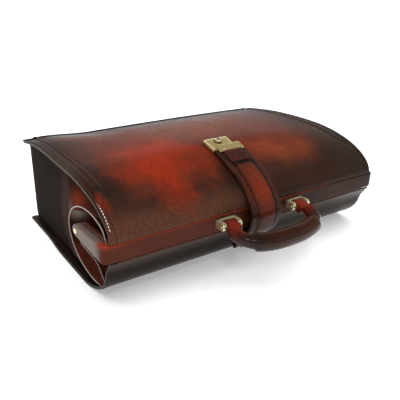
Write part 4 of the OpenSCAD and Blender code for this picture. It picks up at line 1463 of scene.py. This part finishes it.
class BRIEFCASE_OT_strap(bpy.types.Operator):
    """Closing strap with its padded middle, its stitched borders and the pull tab"""
    bl_idname = "briefcase.strap"
    bl_label = "Strap"

    def execute(self, context):
        route = strap_route()
        half, flat = STRAP_W / 2, STRAP_T - 0.4
        edge_r, pad_half = 1.6, 14.6

        def top(x):
            """Height of the strap's outside across its width."""
            side = abs(x)
            pad = 1.9 * smooth((pad_half - side) / 3.2)
            pad += 0.5 * (1 - (side / pad_half) ** 2 if side < pad_half else 0)
            return flat + pad - 0.7 * hump(side - 15.2, 1.0)

        across = [-half + edge_r + 2 * (half - edge_r) * k / 44 for k in range(45)]
        profile = [(x, top(x)) for x in across]
        for a in (60, 30, 0, -40):
            profile.append((half - edge_r + edge_r * cos(radians(a)),
                            flat - edge_r + edge_r * sin(radians(a))))
        profile += [(half - 0.5, 0.0), (half / 2, 0), (0, 0), (-half / 2, 0), (-half + 0.5, 0)]
        for a in (-140, 180, 150, 120):
            profile.append((-half + edge_r + edge_r * cos(radians(a)),
                            flat - edge_r + edge_r * sin(radians(a))))

        def station(share, shrink=1.0):
            p, along = route.at(share), route.heading(share)
            n = Vector((0, -along.z, along.y))
            if n.y > 0 and share < 0.5:
                n = -n
            return lambda x, h: Vector((x, 0, 0)) + p + n * h * shrink

        steps = 110
        stations = [station(k / steps) for k in range(steps + 1)]
        strap = drawn("strap", stations, profile)
        round_edges(strap, 0.8, 60)
        dress(strap, "strap_leather", strap_hide(), cut_edge(), smooth_angle=50)
        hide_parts("strap_lower", "strap_pad_lower", "strap_flap", "strap_pad")

        def along_strap(share):
            """Share of the strap's length for a share of its stitched rows."""
            return 0.03 + 0.95 * share

        rows = []
        for x in (-22.2, 22.2, -16.9, 16.9):
            line = Route([station(along_strap(k / 100))(x, top(x) + 0.05) for k in range(101)])
            rows.append((line, lambda share: station(along_strap(share))(0, 1)
                         - station(along_strap(share))(0, 0)))
        row = stitches("strap_stitches", rows, *FINE_THREAD, "strap_leather")
        fold = radians(FOLD)
        here = Vector((0, BOW_Y - 39.5 * cos(fold), BOW_Z + 39.5 * sin(fold)))
        way = Vector((0, sin(fold), cos(fold)))
        for piece in (strap, row):
            at(*(here - way * 9))
            at(*(here + way * 9))
            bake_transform(piece)

        tab_line = section([over_panel(47.5 + 21.7 * k / 16, HASP_FOOT) for k in range(17)])
        tab_half, corner = 17.0, 4.0

        def tab_width(d):
            if d >= corner:
                return tab_half
            return tab_half - corner + sqrt(max(0.0, corner ** 2 - (corner - d) ** 2))

        def tab_station(share):
            p, along = tab_line.at(share), tab_line.heading(share)
            n = Vector((0, -along.z, along.y))
            wide = tab_width(share * tab_line.length) / tab_half
            return lambda x, h: Vector((x * wide, 0, 0)) + p + n * h

        shape = []
        for k in range(33):
            x = -17 + 34 * k / 32
            edge = 17 - abs(x)
            shape.append((x, 0.9 + 1.9 * smooth(edge / 1.6) - 0.5 * hump(edge - 3.2, 0.6)))
        shape += [(16.2, 0.0), (0, 0.0), (-16.2, 0.0)]
        tab = drawn("pull_tab_leather", [tab_station((k / 40) ** 1.4) for k in range(41)], shape)
        dress(tab, "strap_leather", tab_hide(), cut_edge(), smooth_angle=60)
        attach(tab, "strap")
        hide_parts("pull_tab")
        return {"FINISHED"}


# Lock

class BRIEFCASE_OT_lock(bpy.types.Operator):
    """Lock body, push button, key plug and the hasp with its rivets"""
    bl_idname = "briefcase.lock"
    bl_label = "Lock and hasp"

    def execute(self, context):
        def tilt(y, x=0.0, lift=0.05):
            """From flat parts round the origin to their place on the front panel, in metres."""
            lean = middle_slope(y)
            spot = at(x, y, middle_z(y)) + Vector((0, -sin(lean), cos(lean))) * lift / 1000
            return Matrix.Translation(spot) @ Matrix.Rotation(lean, 4, "X") @ Matrix.Translation(-at(0, 0, 0))

        here = tilt(LOCK_Y, LOCK_X)
        w, l, t = LOCK_W / 2, LOCK_L / 2, LOCK_T
        body = round_edges(block("lock_case", (-w, -l, 0), (w, l, t)), 1.0)
        sink_tops(body)
        body.data.transform(here)
        # The lock's sunk border takes pale brass, a painted highlight along its bevels.
        dress(body, "brass", satin_brass(), highlight_brass(), smooth_angle=30)
        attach(body, "front_cover")
        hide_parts("lock_body", "lock_rivets")

        centre, up = (0, BUTTON_Y, 0), (0, 0, 1)
        button = turned("button", [(2.5, 2.4), (4.4, 2.4), (4.5, t + 3.0), (4.3, t + 3.6), (3.8, t + 4.0),
                                   (2.9, t + 3.9), (2.45, t + 3.6), (2.45, t + 2.0)], centre, up)
        collar = turned("button_collar", [(4.7, t - 0.5), (5.8, t - 0.5), (5.8, t + 0.4), (5.4, t + 0.7),
                                          (4.7, t + 0.7)], centre, up)
        collar.data.transform(here)
        # The collar is painted dark as a shadow ring round the button.
        dress(collar, "brass", shadow_ring_brass())
        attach(collar, "front_cover")
        button.data.transform(here)
        dress(button, "brass", polished_brass())
        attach(button, "lock_button")
        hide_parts("push_button")

        plug = turned("key_barrel", [(0.01, 2.4), (2.35, 2.4), (2.35, t + 3.6), (2.1, t + 3.8),
                                     (0.01, t + 3.8)], centre, up, 32)
        slot = block("key_slot", (-0.5, 2.8, t + 2.4), (0.5, 6.2, t + 5))
        shape_with(plug, "BOOLEAN", object=slot, operation="DIFFERENCE", solver="EXACT")
        bpy.data.objects.remove(slot)
        plug.data.transform(here)
        dress(plug, "steel", warm_steel(), smooth_angle=30)
        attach(plug, "key")
        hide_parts("key_plug")

        hasp_half, lap = 7.5, 7
        there = tilt(FLAP_END + 0.8 + (lap - hasp_half) * cos(middle_slope(FLAP_END)), 0, 0)
        plate = round_edges(block("hasp_leaf", (-21, -hasp_half, HASP_FOOT), (21, hasp_half, HASP_TOP)), 0.9)
        sink_tops(plate)
        plate.data.transform(there)
        hook = block("hook", (LOCK_X + 1, -10.2, 1.1), (LOCK_X + 11, -8.4, 6.5))
        hook.data.transform(tilt(LOCK_Y, 0))
        leaf = join([plate, hook], "hasp_leaf")
        # The hasp's sunk border takes pale brass, a painted highlight along its bevels.
        dress(leaf, "brass", satin_brass(), highlight_brass(), smooth_angle=30)
        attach(leaf, "strap")
        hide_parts("hasp_plate", "hasp_hook")

        profile = [(0.01, 0.6), (1.2, 0.6)] + [(r, HASP_TOP + h) for r, h in (
            (1.2, -0.1), (2.0, -0.1), (1.9, 0.4), (1.2, 0.75), (0.01, 0.8))]
        caps = join([turned("rivet", profile, (x, -4.5, 0), up, 20) for x in (-12, 12)], "hasp_rivet_caps")
        caps.data.transform(there)
        dress(caps, "brass", polished_brass())
        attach(caps, "strap")
        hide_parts("hasp_rivets")
        return {"FINISHED"}


# Nodes that stay as they are

class BRIEFCASE_OT_inner_parts(bpy.types.Operator):
    """Finishes for the solids that keep their own shape"""
    bl_idname = "briefcase.inner_parts"
    bl_label = "Inner parts"

    def execute(self, context):
        finishes = {"bottom_board": fibre_board, "front_padding": wool_felt, "outer_frame_core": plain_steel,
                    "inner_frame_core": plain_steel, "handle_core": plain_steel, "lock_base": polished_brass,
                    "latch_bolt": plain_steel}
        for name, finish in finishes.items():
            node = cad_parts[name]
            if not node.material_slots:
                node.data.materials.append(finish())
            for place in node.material_slots:
                place.material = finish()
        return {"FINISHED"}


class BRIEFCASE_PT_panel(bpy.types.Panel):
    """Steps of the briefcase in the sidebar"""
    bl_idname = "BRIEFCASE_PT_panel"
    bl_label = "Briefcase"
    bl_space_type = "VIEW_3D"
    bl_region_type = "UI"
    bl_category = "Briefcase"

    def draw(self, context):
        for group in ("briefcase_finish", "briefcase_seams", "briefcase_light"):
            settings = getattr(context.scene, group)
            box = self.layout.box()
            for key in settings.__annotations__:
                box.prop(settings, key)
        for step in STEPS:
            self.layout.operator(step.bl_idname)


STEPS = (BRIEFCASE_OT_stage, BRIEFCASE_OT_back, BRIEFCASE_OT_sides, BRIEFCASE_OT_frame, BRIEFCASE_OT_front,
         BRIEFCASE_OT_handle, BRIEFCASE_OT_strap, BRIEFCASE_OT_lock, BRIEFCASE_OT_inner_parts)
GROUPS = (("briefcase_finish", BriefcaseFinish), ("briefcase_seams", BriefcaseSeams),
          ("briefcase_light", BriefcaseLight))


def register():
    for name, group in GROUPS:
        bpy.utils.register_class(group)
        setattr(bpy.types.Scene, name, PointerProperty(type=group))
    for step in (*STEPS, BRIEFCASE_PT_panel):
        bpy.utils.register_class(step)


def unregister():
    for step in reversed((*STEPS, BRIEFCASE_PT_panel)):
        bpy.utils.unregister_class(step)
    for name, group in reversed(GROUPS):
        delattr(bpy.types.Scene, name)
        bpy.utils.unregister_class(group)


def main():
    register()
    for step in STEPS:
        family, name = step.bl_idname.split(".")
        getattr(getattr(bpy.ops, family), name)()


if __name__ == "__main__":
    main()
